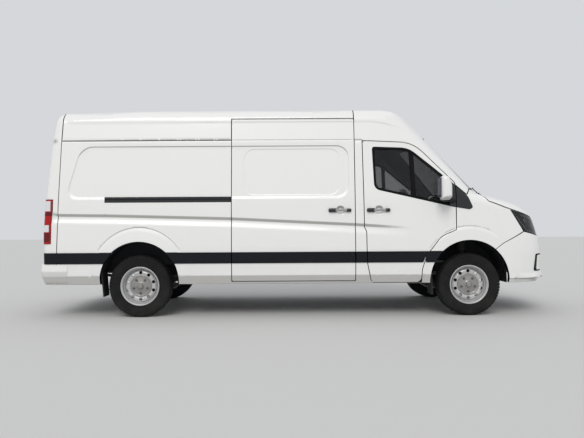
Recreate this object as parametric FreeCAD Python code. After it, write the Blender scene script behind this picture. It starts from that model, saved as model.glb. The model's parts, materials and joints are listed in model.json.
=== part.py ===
# Long-wheelbase panel van with a raised roof, a sliding side door on the right and two rear doors.
# Millimetres. +X is the front, +Y the left side, +Z up. The origin lies on the ground, at the middle
# of the overall length and width. Right-hand pieces are modelled at negative y and mirrored.
import FreeCAD
import Part
import math
import os

V = FreeCAD.Vector

# Overall sizes and running gear
length = 5990.0
wheelbase = 3750.0
front_overhang = 1080.0
half_width = 1000.0
roof_z = 2442.0
track = 1700.0
tyre_radius = 352.0
tyre_width = 215.0
rim_radius = 221.0
rim_width = 190.0
front_x = length / 2
rear_x = -length / 2
front_axle_x = front_x - front_overhang
rear_axle_x = front_axle_x - wheelbase
wheel_z = tyre_radius

# Body levels and walls
sill_z = 368.0
crease_z = 474.0
strip_low = 610.0
strip_high = 736.0
gutter_z = 2012.0
wall = 56.0
roof_wall = 40.0
door_gap = 6.0
floor_top = 640.0
floor_depth = 60.0
arch_radius = 445.0
arch_z = 412.0
arch_depth = 330.0
liner = 8.0
far = 4000.0

# Joint axes
door_axis_x = 1763.0
door_axis_y = half_width + 4.0
rear_axis_x = -2934.0
rear_axis_y = 893.0
bonnet_axis_x = 2118.0
bonnet_axis_z = 1402.0
ball_y = 752.0
ball_z = 232.0
strut_y = 640.0
strut_z = 855.0


def mirror(shape):
    """The same shape on the left-hand side."""
    return shape.mirror(V(0, 0, 0), V(0, 1, 0))


def both(shape):
    return Part.makeCompound([shape, mirror(shape)])


def rounded(points, place):
    """Closed wire through (a, b, corner radius) rows; place turns (a, b) into a vector."""
    pts = [place(a, b) for a, b, r in points]
    n = len(pts)
    starts, ends, mids = [], [], []
    for i, (a, b, r) in enumerate(points):
        p, here, q = pts[i - 1], pts[i], pts[(i + 1) % n]
        if r <= 0:
            starts.append(here)
            ends.append(here)
            mids.append(None)
            continue
        room_back = (p - here).Length * (0.98 if points[i - 1][2] <= 0 else 0.49)
        room_on = (q - here).Length * (0.98 if points[(i + 1) % n][2] <= 0 else 0.49)
        u = (p - here).normalize()
        w = (q - here).normalize()
        half = u.getAngle(w) / 2
        reach = min(r / math.tan(half), room_back, room_on)
        r = reach * math.tan(half)
        bisector = (u + w).normalize()
        starts.append(here + u * reach)
        ends.append(here + w * reach)
        mids.append(here + bisector * (r / math.sin(half) - r))
    edges = []
    for i in range(n):
        if mids[i] is not None:
            edges.append(Part.Arc(starts[i], mids[i], ends[i]).toShape())
        a, b = ends[i], starts[(i + 1) % n]
        if (a - b).Length > 1e-6:
            edges.append(Part.LineSegment(a, b).toShape())
    return Part.Wire(edges)


def prism_y(points, y0, y1):
    """Outline in x and z, pushed from y0 to y1."""
    face = Part.Face(rounded(points, lambda a, b: V(a, y0, b)))
    return face.extrude(V(0, y1 - y0, 0))


def prism_z(points, z0, z1):
    face = Part.Face(rounded(points, lambda a, b: V(a, b, z0)))
    return face.extrude(V(0, 0, z1 - z0))


def prism_x(points, x0, x1):
    face = Part.Face(rounded(points, lambda a, b: V(x0, a, b)))
    return face.extrude(V(x1 - x0, 0, 0))


def box(x0, x1, y0, y1, z0, z1):
    return Part.makeBox(x1 - x0, y1 - y0, z1 - z0, V(x0, y0, z0))


def rod(p, q, r):
    """Round bar from p to q."""
    d = V(*q) - V(*p)
    return Part.makeCylinder(r, d.Length, V(*p), d)


# Half section of the body across the van: half width, height, corner radius
def body_section(t, top):
    shoulder_z = roof_z - 78
    right = [
        (940 - t, 200, 0),
        (952 - t, sill_z, 18),
        (988 - t, crease_z, 60),
        (half_width - t, 760, 900),
        (982 - t, 1330, 1500),
        (922 - t, gutter_z, 500),
        (872 - t, shoulder_z - top, 110),
        (0, shoulder_z + 144 - top, 0),
    ]
    left = [(-y, z, r) for y, z, r in reversed(right[:-1])]
    return right + left


# Side view of the body on its centre line, without the bumpers
screen_top = (1590.0, 2095.0)
screen_foot = (2231.0, 1430.0)
bonnet_front = (2880.0, 1095.0)
bonnet_rise = 0.28
nose_x = front_x - 42
screen_lean = (screen_foot[0] - screen_top[0]) / (screen_top[1] - screen_foot[1])


def cab_profile(t, top):
    """Load space, roof and windscreen: x, z, corner radius."""
    foot_drop, lead = 200.0, 4.0
    return [
        (rear_x + 78 + t, 200, 0),
        (rear_x + 78 + t, 1000, 900),
        (rear_x + 100 + t, 1400, 1500),
        (rear_x + 146 + t, gutter_z, 1500),
        (rear_x + 200 + t, roof_z - 34 - top, 90),
        (-1900, roof_z - top, 4000),
        (1168 - 0.4 * t, roof_z - top, 1510),
        (screen_top[0] + lead - 1.1 * t, screen_top[1] - 0.4 * top, 0),
        (screen_foot[0] + lead + foot_drop * screen_lean - 1.4 * t, screen_foot[1] - foot_drop, 0),
        (screen_foot[0] + lead + foot_drop * screen_lean - 1.4 * t, 200, 0),
    ]


def nose_profile(t, top):
    """Bonnet, carried on under the windscreen's foot, and the nose: x, z, corner radius."""
    rear = 1900.0
    return [
        (rear, 200, 0),
        (rear, screen_foot[1] + (screen_foot[0] - rear) * bonnet_rise - top, 0),
        (2560 - t, 1338 - top, 900),
        (bonnet_front[0] - t, bonnet_front[1] - top, 240),
        (nose_x - t, 820, 300),
        (nose_x - t, 200, 0),
    ]


# Top view of the body: x, y, corner radius
def plan_outline(t, grow=0.0):
    right = [
        (rear_x + 70 + t, half_width + 5 - t, 45),
        (1500, half_width + 5 - t, 9000),
        (2330 - t, half_width - 12 - t + grow, 1500),
        (2740 - t + grow, 800 - t, 420),
        (front_x - 34 - t + grow, 380, 900),
    ]
    left = [(x, -y, r) for x, y, r in reversed(right)]
    return right + left


def screen_cutter(t):
    """Everything in front of the curved windscreen."""
    drop = 200.0
    slope = V(screen_top[0] - screen_foot[0], 0, screen_top[1] - screen_foot[1])
    low = V(screen_foot[0] + drop * screen_lean - t * 1.4, 0, screen_foot[1] - drop)
    sweep, wide, clear = 310.0, 900.0, 1500.0
    back, front = V(-sweep, 0, 0), V(clear, 0, 0)
    left, right = V(0, wide, 0), V(0, -wide, 0)
    edge = Part.Arc(low + back + right, low, low + back + left).toShape()
    ends = [low + back + left, low + back * 1.6 + left * 1.3, low + front + left * 1.3,
            low + front + right * 1.3, low + back * 1.6 + right * 1.3, low + back + right]
    rest = [Part.LineSegment(a, b).toShape() for a, b in zip(ends, ends[1:])]
    return Part.Face(Part.Wire([edge] + rest)).extrude(slope * 1.9)


def crown(profile):
    """The side profile turned about a low lengthwise axis, which gives roof and bonnet their crown."""
    axis_z, half_turn = roof_z - 4840, 24
    side = Part.Face(rounded(profile, lambda a, b: V(a, 0, b)))
    side.rotate(V(0, 0, axis_z), V(1, 0, 0), -half_turn)
    return side.revolve(V(0, 0, axis_z), V(1, 0, 0), 2 * half_turn)


def body_volume(t, top):
    """The closed outer form of the body, moved inwards by t at the sides and top at the roof."""
    across = prism_x(body_section(t, top), -far, far)
    plan = prism_z(plan_outline(t), 200, 3000)
    cab = crown(cab_profile(t, top)).cut(screen_cutter(t))
    return across.common(cab.fuse(crown(nose_profile(t, top)))).common(plan)


# Panel outlines in side view: x, z, corner radius
front_door_line = [
    (712, 2000, 25), (1290, 1972, 400), (1758, 1512, 60), (1760, 978, 20), (1590, 905, 220),
    (1420, 690, 250), (1366, 520, 300), (1366, 384, 60), (800, 384, 60), (752, 620, 200),
    (748, 965, 30), (724, 1020, 30),
]
front_door_hole = [
    (706, 2006, 30), (1292, 1978, 400), (1764, 1515, 60), (1766, 974, 20), (1594, 900, 220),
    (1425, 686, 250), (1372, 520, 300), (1372, 378, 60), (795, 378, 60), (746, 620, 200),
    (742, 962, 30), (718, 1017, 30),
]
cab_window_line = [
    (822, 1928, 25), (1235, 1912, 260), (1700, 1532, 12), (1700, 1247, 12), (842, 1446, 80),
]
slide_x0, slide_x1, slide_z0, slide_z1 = -784.0, 616.0, 406.0, 2258.0
roof_seam_x = 620.0
rear_seam_line = [(-4000, 200, 0), (-2761, 200, 0), (-2761, 750, 0), (-2722, 2340, 0), (-2722, 3000, 0),
                  (-4000, 3000, 0)]
fender_line = [
    (1372, 300, 0), (1372, 900, 0), (1700, 990, 0), (1766, 1487, 0), (1894, 1380, 0), (1950, 1448, 0),
    (2060, 1461, 0), (2126, 1394, 0), (2175, 1338, 0), (2417, 1256, 0), (2581, 998, 0), (2318, 856, 0),
    (2230, 800, 0), (2230, 300, 0),
]
bonnet_line = [
    (1900, 1700, 0), (1900, 1400, 0), (2126, 1400, 0), (2177, 1344, 0), (2419, 1262, 0), (2512, 1244, 0),
    (2654, 1187, 0), (2780, 1131, 0), (2864, 1068, 0), (3100, 1068, 0), (3100, 1700, 0),
]
lamp_line = [
    (2417, 1256, 0), (2510, 1238, 0), (2652, 1181, 0), (2777, 1125, 0), (2860, 1062, 0), (3100, 1062, 0),
    (3100, 880, 0), (2868, 908, 0), (2581, 998, 0),
]
bumper_line = [
    (2230, 800, 0), (2318, 856, 0), (2581, 998, 0), (2868, 908, 0), (3100, 880, 0), (3100, 356, 0),
    (2230, 356, 0),
]


# Pressed forms in the sides: x, z, corner radius
quarter_panel = [(-2669, 1352, 90), (-2509, 1950, 150), (554, 1950, 120), (554, 1352, 120)]
rail_slot = [(-2225, 1300, 0), (-2225, 1370, 0), (-786, 1370, 0), (-786, 1300, 0)]
character_groove = [(-2813, 1156, 0), (-780, 1113, 0), (617, 1042, 0), (1459, 985, 0),
                    (617, 1012, 0), (-780, 1083, 0), (-2813, 1126, 0)]
panel_depth, rail_depth, groove_depth = 9.0, 14.0, 6.0
gutter_height, gutter_depth = 12.0, 4.0
flare_proud, flare_width = 12.0, 112.0


def arch_rings():
    """Rings round the wheel arches: above the rubbing strip, and down to the sill ahead of the front wheel."""
    shapes = []
    for x in (front_axle_x, rear_axle_x):
        disc = Part.makeCylinder(arch_radius + flare_width, 500, V(x, -1100, arch_z), V(0, 1, 0))
        ring = disc.cut(arch_form(x, arch_radius, -500, -1200))
        low = box(x - 700, x if x > 0 else x + 700, -1200, -500, 0, strip_high)
        shapes.append(ring.cut(low).cut(box(-far, far, -1200, -500, 0, sill_z)))
    return both(Part.makeCompound(shapes))


def pressed_cuts():
    """Cutters for the side recesses, the character line, the rail's slot and the gutter."""
    whole = [(-2900, 100, 0), (-2900, 2300, 0), (1600, 2300, 0), (1600, 100, 0)]
    slot = side_prism(rail_slot)
    gutter = [(rear_seam_line[3][0], gutter_z - gutter_height / 2, 0), (rear_seam_line[3][0], gutter_z + gutter_height / 2, 0),
              (roof_seam_x, gutter_z + gutter_height / 2, 0), (roof_seam_x, gutter_z - gutter_height / 2, 0)]
    groups = ((panel_depth, both(side_prism(quarter_panel))), (groove_depth, both(side_prism(character_groove))),
              (rail_depth, slot), (gutter_depth, both(side_prism(gutter))))
    return [section_skin(-8, depth).common(both(side_prism(whole))).common(zone) for depth, zone in groups]


# Pressed panels in each rear door, seen from behind: inner y, outer y, low z, high z
rear_panels = ((110, 770, 1400, 1960), (110, 800, 960, 1290))
plate_recess = (150, 690, 720, 850)


def rear_cuts():
    """Cutters for the pressed panels of the rear doors and the number plate's place in the left one."""
    shapes = []
    for y0, y1, z0, z1 in rear_panels:
        shapes.append(both(prism_x([(y0, z0, 60), (y0, z1, 60), (y1, z1, 60), (y1, z0, 60)], -3100, -2500)))
    y0, y1, z0, z1 = plate_recess
    shapes.append(box(-3100, -2500, y0, y1, z0, z1))
    return Part.makeCompound(shapes)


def bonnet_rear(x_centre, x_side, y_side):
    """Everything in front of the curved rear edge of the bonnet, seen from above."""
    edge = Part.Arc(V(x_side, -y_side, 900), V(x_centre, 0, 900), V(x_side, y_side, 900)).toShape()
    ends = [V(x_side, y_side, 900), V(x_side, 1100, 900), V(3200, 1100, 900), V(3200, -1100, 900),
            V(x_side, -1100, 900), V(x_side, -y_side, 900)]
    rest = [Part.LineSegment(a, b).toShape() for a, b in zip(ends, ends[1:])]
    return Part.Face(Part.Wire([edge] + rest)).extrude(V(0, 0, 900))


def arch_form(x, radius, y0, y1):
    """Wheel arch space: a half round on straight legs, on one side of the van."""
    lo, hi = min(y0, y1), max(y0, y1)
    dome = Part.makeCylinder(radius, hi - lo, V(x, lo, arch_z), V(0, 1, 0))
    legs = box(x - radius, x + radius, lo, hi, 0, arch_z)
    return dome.fuse(legs).removeSplitter()


def all_arches(radius, y0, y1):
    forms = []
    for x in (front_axle_x, rear_axle_x):
        forms.append(both(arch_form(x, radius, -y0, -y1)))
    return Part.makeCompound(forms)


def side_prism(line, reach=1200.0, depth=480.0):
    """Outline pushed through the right-hand side wall."""
    return prism_y(line, -reach, -depth)


def shell():
    """The body's hollow skin, open below, with its wheel arches cut."""
    skin = body_volume(0, 0).cut(body_volume(wall, roof_wall))
    skin = skin.cut(box(-far, far, -far, far, 0, sill_z))
    return skin.cut(all_arches(arch_radius, 560, 1100))


def slide_zone(gap):
    """The sliding door's opening in the right-hand side, grown by gap."""
    return box(slide_x0 - gap, slide_x1 + gap, -1200, -480, slide_z0 - gap, slide_z1 + gap)


def rear_door_zone(gap):
    """Rear doorway, seen from behind: y, z, corner radius."""
    right = [(892 + gap, 626 - gap, 20), (890 + gap, 1330, 1500), (838 + gap, gutter_z, 400),
             (800 + gap, 2296 + gap, 90)]
    left = [(-y, z, r) for y, z, r in reversed(right)]
    return prism_x(right + left, -3200, -2700)


def screen_zone(gap):
    """Windscreen opening, seen from the front: y, z, corner radius."""
    right = [(815 + gap, 1395 - gap, 60), (690 + gap, 2068 + gap, 90), (0, 2096 + gap, 0)]
    left = [(-y, z, r) for y, z, r in reversed(right[:-1])]
    return prism_x(right + left + [(0, 1452 - gap, 0)], 1300, 2330)


def body_panels(skin):
    """The fixed panels and the doors, cut from one skin so that they meet where the real ones do."""
    front_hole = both(side_prism(front_door_hole, 1200, 640))
    behind_seam = prism_y(rear_seam_line, -1200, 1200)
    gutter_up = box(-far, far, -far, far, gutter_z, far)
    bonnet_gap = prism_y([(x, z - door_gap, r) for x, z, r in bonnet_line], -1200, 1200)
    bonnet_gap = bonnet_gap.common(bonnet_rear(2247, 2120, 690))

    parts = {}
    # Moving panels first
    side_doors = skin.common(side_prism(front_door_line, 1200, 640))
    parts["front_door_right"] = side_doors.cut(side_prism(cab_window_line, 1200, 640))
    parts["front_door_left"] = mirror(parts["front_door_right"])
    parts["sliding_door"] = skin.common(slide_zone(0))
    parts["bonnet"] = skin.common(prism_y(bonnet_line, -1200, 1200)).common(bonnet_rear(2253, 2126, 690))

    rest = skin.cut(front_hole).cut(slide_zone(5)).cut(bonnet_gap)
    rear = rest.common(behind_seam)
    rest = rest.cut(behind_seam)
    doors = rear.common(rear_door_zone(0))
    parts["rear_door_right"] = doors.common(box(-3100, -2600, -950, -4, 0, far))
    parts["rear_door_left"] = doors.common(box(-3100, -2600, 4, 950, 0, far))
    lamps = both(box(-3100, -2825, -1100, -897, 841, 1344))
    frame = rear.cut(rear_door_zone(door_gap))
    parts["tail_lamps"] = frame.common(lamps)
    parts["rear_frame"] = frame.cut(lamps)

    parts["roof_rear"] = rest.common(gutter_up).common(box(-far, roof_seam_x, -far, far, 0, far))
    lower = rest.cut(gutter_up)
    for side, keep in (("right", box(-far, 1372, -far, 0, 0, far)), ("left", box(-far, 1372, 0, far, 0, far))):
        side_line = [(-far, 200, 0), (1372, 200, 0), (1372, 700, 0), (712, 700, 0), (712, gutter_z, 0),
                     (-far, gutter_z, 0)]
        zone = prism_y(side_line, -1200, 1200).common(keep)
        parts["side_" + side] = lower.common(zone)
    front = rest.common(box(1300, far, -far, far, 0, far))
    fender_zone = side_prism(fender_line).cut(box(1300, 2300, -690, 690, 0, far))
    fender = biggest(front.common(fender_zone))
    lamp = front.common(side_prism(lamp_line))
    parts["headlamps"] = both(lamp)
    hoop = rest.common(box(roof_seam_x, far, -far, far, 900, far))
    hoop = hoop.cut(box(roof_seam_x, 712, -far, far, 900, gutter_z))
    hoop = hoop.cut(both(fender_zone)).cut(both(side_prism(lamp_line)))
    cowl_zone = prism_y([(1880, 1396, 0), (2400, 1200, 0), (2400, 1520, 0), (2140, 1449, 0), (1880, 1449, 0)],
                        -1100, 1100)
    cowl_zone = cowl_zone.common(box(1700, 2400, -820, 820, 0, far))
    notches = both(box(2095, 2160, -690, -595, 1300, 1500))
    ahead_of_glass = screen_cutter(16).common(screen_zone(0))
    parts["cowl"] = biggest(hoop.common(cowl_zone).cut(notches).cut(ahead_of_glass))
    parts["fender_right"] = biggest(fender.cut(ahead_of_glass))
    parts["roof_front"] = biggest(hoop.cut(cowl_zone).cut(screen_zone(0)).cut(
        box(2240, far, -far, far, 0, far)))
    return parts


def biggest(shape, count=1):
    """The largest solids of a shape, so that a slice left over by a cut is dropped."""
    solids = sorted(shape.Solids, key=lambda s: -s.Volume)[:count]
    return solids[0] if count == 1 else Part.makeCompound(solids)


def section_skin(outer, inner):
    """Thin layer between two depths below the side of the body, for glass and trim."""
    return prism_x(body_section(outer, 0), -2900, 2100).cut(prism_x(body_section(inner, 0), -2900, 2100))


def glazing():
    """Windscreen and front door panes."""
    depth, thick = 10.0, 6.0
    screen = screen_cutter(depth + thick).cut(screen_cutter(depth)).common(screen_zone(0))
    inside = crown(cab_profile(4, 4))
    screen = biggest(screen.common(inside))
    pane = section_skin(20, 25).common(side_prism(cab_window_line, 1200, 640))
    return {
        "windscreen": screen,
        "front_glass_right": pane,
        "front_glass_left": mirror(pane),
    }


# Bumpers in plan: x, y, corner radius
front_bumper_plan = [(2200, half_width + 4, 0), (2430, half_width - 10, 700), (2745, 838, 420),
                     (front_x - 66, 430, 900), (front_x - 14, 160, 900)]
rear_bumper_plan = [(-2645, half_width + 2, 0), (-2943, half_width + 2, 90), (-2943, 560, 30),
                    (rear_x, 520, 30)]


def ring(plan, z0, z1):
    """Plan outline of one side, mirrored to the other and pushed up from z0 to z1."""
    left = [(x, -y, r) for x, y, r in reversed(plan) if y]
    return prism_z(plan + left, z0, z1)


lip_plan = [(2400, 975, 0), (2560, 930, 500), (2762, 855, 420), (front_x - 34, 440, 900), (front_x, 160, 900)]
lip_low, lip_high = 430.0, 470.0
# Fog lamp pockets: inner y, outer y, low z, high z, depth, and the upright blade's width
pocket = (600, 750, 500, 735, 26)
blade = (662, 690)


def inset(plan, depth):
    """Plan outline moved inwards, apart from its rear end."""
    return [(x - (depth if i else 0), max(y - depth, 0), r) for i, (x, y, r) in enumerate(plan)]


def bumpers():
    """Front bumper with its lip, air slot and fog lamp pockets, and the rear bumper with its step."""
    wall_depth = 60.0
    outer = ring(front_bumper_plan, 356, 1010)
    inner = ring(inset(front_bumper_plan, wall_depth), 300, 1100)
    face = prism_y([(2100, 356, 0), (front_x - 60, 356, 40), (front_x - 14, 470, 40), (front_x - 14, 600, 60),
                    (front_x - 44, 812, 40), (2868, 880, 60), (2100, 1010, 0)], -1100, 1100)
    front = outer.cut(inner).common(face).common(prism_y(bumper_line, -1100, 1100))
    flare = ring([(x, y + flare_proud, r) for x, y, r in front_bumper_plan], 356, 1010).cut(inner)
    flare = flare.common(arch_rings()).common(prism_y(bumper_line, -1100, 1100)).common(box(2200, 2500, -far, far, 0, far))
    y0, y1, z0, z1, depth = pocket
    hollow = outer.cut(ring(inset(front_bumper_plan, depth), 300, 1100))
    hollow = hollow.common(both(box(2500, far, -y1, -y0, z0, z1)))
    hollow = hollow.cut(both(box(2500, far, -blade[1], -blade[0], z0, z1)))
    front = front.cut(hollow).fuse(flare).fuse(ring(lip_plan, lip_low, lip_high).cut(inner))
    front = front.cut(all_arches(arch_radius, 560, 1100))
    lamp_gap = both(side_prism([(x, z - 3, 0) for x, z, r in lamp_line]))
    front = front.cut(lamp_gap)
    # Lower grille slot and the two fog lamp recesses
    front = front.cut(box(2800, far, -420, 420, 470, 560)).cut(box(2600, far, -480, 480, 862, 1062))
    outer = ring(rear_bumper_plan, 400, 616)
    inner = ring([(x + (wall_depth if i else 0), y - 68, r) for i, (x, y, r) in
                  enumerate(rear_bumper_plan)], 300, 700)
    rear = outer.cut(inner)
    corner = prism_y([(-2641, 390, 0), (-2655, 616, 0), (-3100, 616, 0), (-3100, 470, 0), (-2892, 424, 0)],
                     -1100, 1100)
    step = box(rear_x, -2880, -520, 520, 586, 616)
    return {"front_bumper": biggest(front), "rear_bumper": biggest(rear.common(corner).fuse(step))}


def grille(skin):
    """Dark panel between the headlamps, with the air slots cut through."""
    frame = skin.common(box(2600, far, -477, 477, 862, 1062))
    for i in range(4):
        low = 880 + 44 * i
        frame = frame.cut(box(2600, far, -440, 440, low, low + 24))
    return frame


# Side rubbing strips: first and last x on the body
strip_spans = [(-2912, -1900), (-1770, -790), (622, 706), (1360, 1700)]
door_strip_spans = {"sliding_door": (-782, 614), "front_door": (754, 1440)}
strip_proud = 9.0


def strip(x0, x1, side):
    """Rubbing strip on one side, from x0 to x1, proud of the body."""
    layer = prism_x(body_section(-strip_proud, 0), x0, x1).cut(prism_x(body_section(0, 0), x0, x1))
    band = box(x0, x1, -1100, 0, strip_low, strip_high)
    piece = layer.common(band)
    return piece if side == "right" else mirror(piece)


# Wheels
rim_rows = [
    # radius, offset outwards from the wheel's middle plane
    (221, -95), (221, -89), (205, -82), (205, -42), (186, -24), (186, 22), (205, 42), (205, 82), (221, 89),
    (221, 95), (214, 95), (198, 80), (197, 48), (179, 30), (160, 52), (126, 47), (124, 58), (62, 66),
    (40, 78), (30, 92), (0, 94), (0, 40), (30.3, 40), (30.3, -52), (44, -52), (46, -72), (142, -72),
    (142, -48), (48, -44), (52, 30), (122, 34), (150, 38), (172, 20), (179, 10), (179, -22), (197, -45),
    (198, -80), (214, -95),
]
tyre_rows = [
    # radius, offset, corner radius
    (205.3, -80, 0), (221.3, -88.5, 0), (236, -104, 30), (290, -tyre_width / 2, 90), (337, -100, 20),
    (tyre_radius, -84, 12), (tyre_radius, 84, 12), (337, 100, 20), (290, tyre_width / 2, 90),
    (236, 104, 30), (221.3, 88.5, 0), (205.3, 80, 0),
]
rim_holes, hole_circle, hole_radius = 10, 152.0, 15.0
lugs, lug_circle, lug_radius = 5, 80.0, 13.0


def turned(rows, x, y):
    """Rows of radius, offset and corner radius turned about the wheel's axle at x; y is its middle plane."""
    sign = -1 if y < 0 else 1
    outline = rounded([(r, o, c) for r, o, c in rows], lambda a, b: V(x + a, y + sign * b, wheel_z))
    return Part.Face(outline).revolve(V(x, y, wheel_z), V(0, 1, 0), 360)


def wheel(x, y):
    """Rim with its hub and brake disc, and the tyre."""
    sign = -1 if y < 0 else 1
    rim = turned([(r, o, 0) for r, o in rim_rows], x, y)
    for i in range(rim_holes):
        a = 2 * math.pi * i / rim_holes
        centre = V(x + hole_circle * math.cos(a), y, wheel_z + hole_circle * math.sin(a))
        rim = rim.cut(Part.makeCylinder(hole_radius, 80, centre, V(0, sign, 0)))
    for i in range(lugs):
        a = 2 * math.pi * (i + 0.2) / lugs
        centre = V(x + lug_circle * math.cos(a), y + sign * 60, wheel_z + lug_circle * math.sin(a))
        rim = rim.fuse(Part.makeCylinder(lug_radius, 16, centre, V(0, sign, 0)))
    return rim, turned(tyre_rows, x, y)


def wheels():
    parts = {}
    for end, x in (("front", front_axle_x), ("rear", rear_axle_x)):
        for side, y in (("right", -track / 2), ("left", track / 2)):
            rim, tyre = wheel(x, y)
            parts["rim_" + end + "_" + side] = rim
            parts["tyre_" + end + "_" + side] = tyre
    return parts


# Running gear
spindle_radius = 30.0
rail_y, rail_width, rail_low, rail_high = 470.0, 80.0, 470.0, 580.0
running_gap = 0.3
plate_y = 725.0


def knuckle():
    """Right-hand hub carrier with its spindle, caliper, strut and coil, turning on the strut's line."""
    x = front_axle_x
    y_at = lambda z: -(ball_y + (strut_y - ball_y) * (z - ball_z) / (strut_z - ball_z))
    plate = box(x - 60, x + 60, -plate_y - 14, -plate_y + 14, ball_z + 40, 470)
    spindle = rod((x, -plate_y, wheel_z), (x, -track / 2 - 36, wheel_z), spindle_radius)
    neck = rod((x, y_at(ball_z + 18), ball_z + 18), (x, y_at(320), 320), 20)
    strut_top = arch_z + arch_radius - 5
    strut = rod((x, y_at(400), 400), (x, y_at(strut_top), strut_top), 27)
    coil = rod((x, y_at(722), 722), (x, y_at(strut_z - 22), strut_z - 22), 56)
    arc = [(x - 172, wheel_z - 60, 0), (x - 172, wheel_z + 60, 0), (x - 138, wheel_z + 60, 0),
           (x - 148, wheel_z, 0), (x - 138, wheel_z - 60, 0)]
    pad = prism_y(arc, -plate_y - 75, -plate_y + 8).cut(
        Part.makeCylinder(148, 400, V(x, -1000, wheel_z), V(0, 1, 0)))
    bridge = box(x - 165, x, -plate_y - 6, -plate_y + 8, wheel_z - 40, wheel_z + 40)
    shape = plate
    for piece in (spindle, neck, strut, coil, pad, bridge):
        shape = shape.fuse(piece)
    return shape


def front_suspension():
    """Crossmember and the two lower arms, out to the ball joints."""
    x = front_axle_x
    beam = box(x - 70, x + 70, -430, 430, 250, 330)
    towers = both(box(x - 50, x + 50, -470, -400, 300, rail_low))
    arm = prism_z([(x - 160, -400, 20), (x + 120, -400, 20), (x + 18, -ball_y - 4, 12),
                   (x - 18, -ball_y - 4, 12)], ball_z - 14, ball_z + 13.6)
    legs = both(box(x - 160, x - 100, -440, -380, ball_z, rail_low))
    cross = box(x - 160, x - 60, -430, -380, ball_z - 14, ball_z + 60)
    shape = beam.fuse(towers).fuse(both(arm)).fuse(legs).fuse(both(cross))
    return shape


def rear_axle():
    x = rear_axle_x
    tube = rod((x, -740, wheel_z), (x, 740, wheel_z), 44)
    case = Part.makeSphere(140, V(x, 0, wheel_z)).common(box(x - 110, x + 150, -150, 150, 0, 700))
    shape = tube.fuse(case)
    for side in (-1, 1):
        shape = shape.fuse(rod((x, side * 700, wheel_z), (x, side * (track / 2 + 36), wheel_z), spindle_radius))
        shape = shape.fuse(rod((x, side * 728, wheel_z), (x, side * 740, wheel_z), 140))
        shape = shape.fuse(box(x - 60, x + 60, side * spring_y - 45, side * spring_y + 45, wheel_z, wheel_z + 52))
    return shape


spring_y, spring_width, spring_thick = 610.0, 70.0, 26.0
spring_reach, spring_rise = 620.0, 70.0


def leaf_springs():
    """Curved springs lying on the axle's pads, with their hangers up to the floor."""
    x, low = rear_axle_x, wheel_z + 52
    ends = [V(x - spring_reach, 0, low + spring_rise), V(x, 0, low), V(x + spring_reach, 0, low + spring_rise)]
    lift = V(0, 0, spring_thick)
    bottom = Part.Arc(*ends).toShape()
    top = Part.Arc(*[p + lift for p in ends]).toShape()
    sides = [Part.LineSegment(ends[0], ends[0] + lift).toShape(),
             Part.LineSegment(ends[2], ends[2] + lift).toShape()]
    face = Part.Face(Part.Wire(Part.__sortEdges__([bottom, sides[1], top, sides[0]])))
    face.translate(V(0, -spring_y - spring_width / 2, 0))
    leaf = face.extrude(V(0, spring_width, 0))
    shape = leaf
    for dx in (-spring_reach, spring_reach):
        hanger = box(x + dx - 25, x + dx + 25, -spring_y - 42, -spring_y + 42, low + spring_rise - 30, rail_high)
        shape = shape.fuse(hanger)
    return both(shape)


def frame_rails():
    """Two lengthwise rails under the floor with crossmembers; holes at the rear take a towing bracket."""
    inner, outer = rail_y - rail_width / 2, rail_y + rail_width / 2
    rails = both(box(-2860, 2640, -outer, -inner, rail_low, rail_high))
    shape = rails
    for x in (-2860, -2300, -1300, -300, 700, 1300, 2600):
        shape = shape.fuse(box(x, x + 40, -outer, outer, rail_low + 40, rail_high))
    for side in (-1, 1):
        for z in (rail_low + 40, rail_high - 30):
            shape = shape.cut(rod((-2900, side * rail_y, z), (-2700, side * rail_y, z), tow_hole_radius))
    return shape


tow_hole_radius = 6.5


def driveline():
    """Gearbox and propeller shaft."""
    gearbox = box(1480, 2150, -150, 150, 420, 575)
    shaft = rod((rear_axle_x + 150, 0, wheel_z), (1481, 0, 468), 38)
    return gearbox.fuse(shaft)


def engine():
    block = box(2150, 2590, -260, 260, 480, 1060)
    feet = box(2300, 2420, -rail_y + rail_width / 2, rail_y - rail_width / 2, 500, 560)
    return block.fuse(feet)


def fuel_tank():
    return box(200, 1100, 520, 860, 350, 580).fuse(box(300, 1000, 510, 540, 500, 560))


def exhaust():
    pipe = rod((2100, -250, 440), (-600, -250, 440), 32).fuse(rod((2180, -220, 479.7), (2180, -220, 440), 32))
    pipe = pipe.fuse(rod((2180, -220, 440), (2095, -250, 440), 32))
    can = rod((-600, -250, 430), (-1250, -250, 430), 95)
    hangers = box(-700, -680, -270, -230, 500, 580).fuse(box(600, 620, -265, -235, 465, 580))
    return pipe.fuse(can).fuse(hangers)


def hinge_half(x, y, z0, z1, leaf, radius):
    """One half of a hinge on a vertical axis: a barrel and the leaf box that carries it."""
    return Part.makeCylinder(radius, z1 - z0, V(x, y, z0)).fuse(leaf)


front_hinge_levels = (1006.0, 1180.0)
rear_hinge_levels = (720.0, 1400.0, 1760.0)
hinge_height = 34.0


def front_hinges():
    """Right-hand hinge halves: those on the wing and those on the door."""
    x, y = door_axis_x, -door_axis_y
    body, door = [], []
    for z in front_hinge_levels:
        top = z + hinge_height
        body.append(hinge_half(x, y, z, top, box(x, x + 26, y - 3, y + 22, z, top), 7))
        door.append(hinge_half(x, y, top + running_gap, top + hinge_height,
                               box(x - 26, x, y - 3, y + 22, top + running_gap, top + hinge_height), 7))
    return Part.makeCompound(body), Part.makeCompound(door)


def rear_skin_x(z):
    """Rear face of the body at height z."""
    rows = [(0, rear_x + 78), (1000, rear_x + 78), (1400, rear_x + 100), (gutter_z, rear_x + 146)]
    for (z0, x0), (z1, x1) in zip(rows, rows[1:]):
        if z <= z1:
            return x0 + (x1 - x0) * (z - z0) / (z1 - z0)
    return rows[-1][1]


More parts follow.
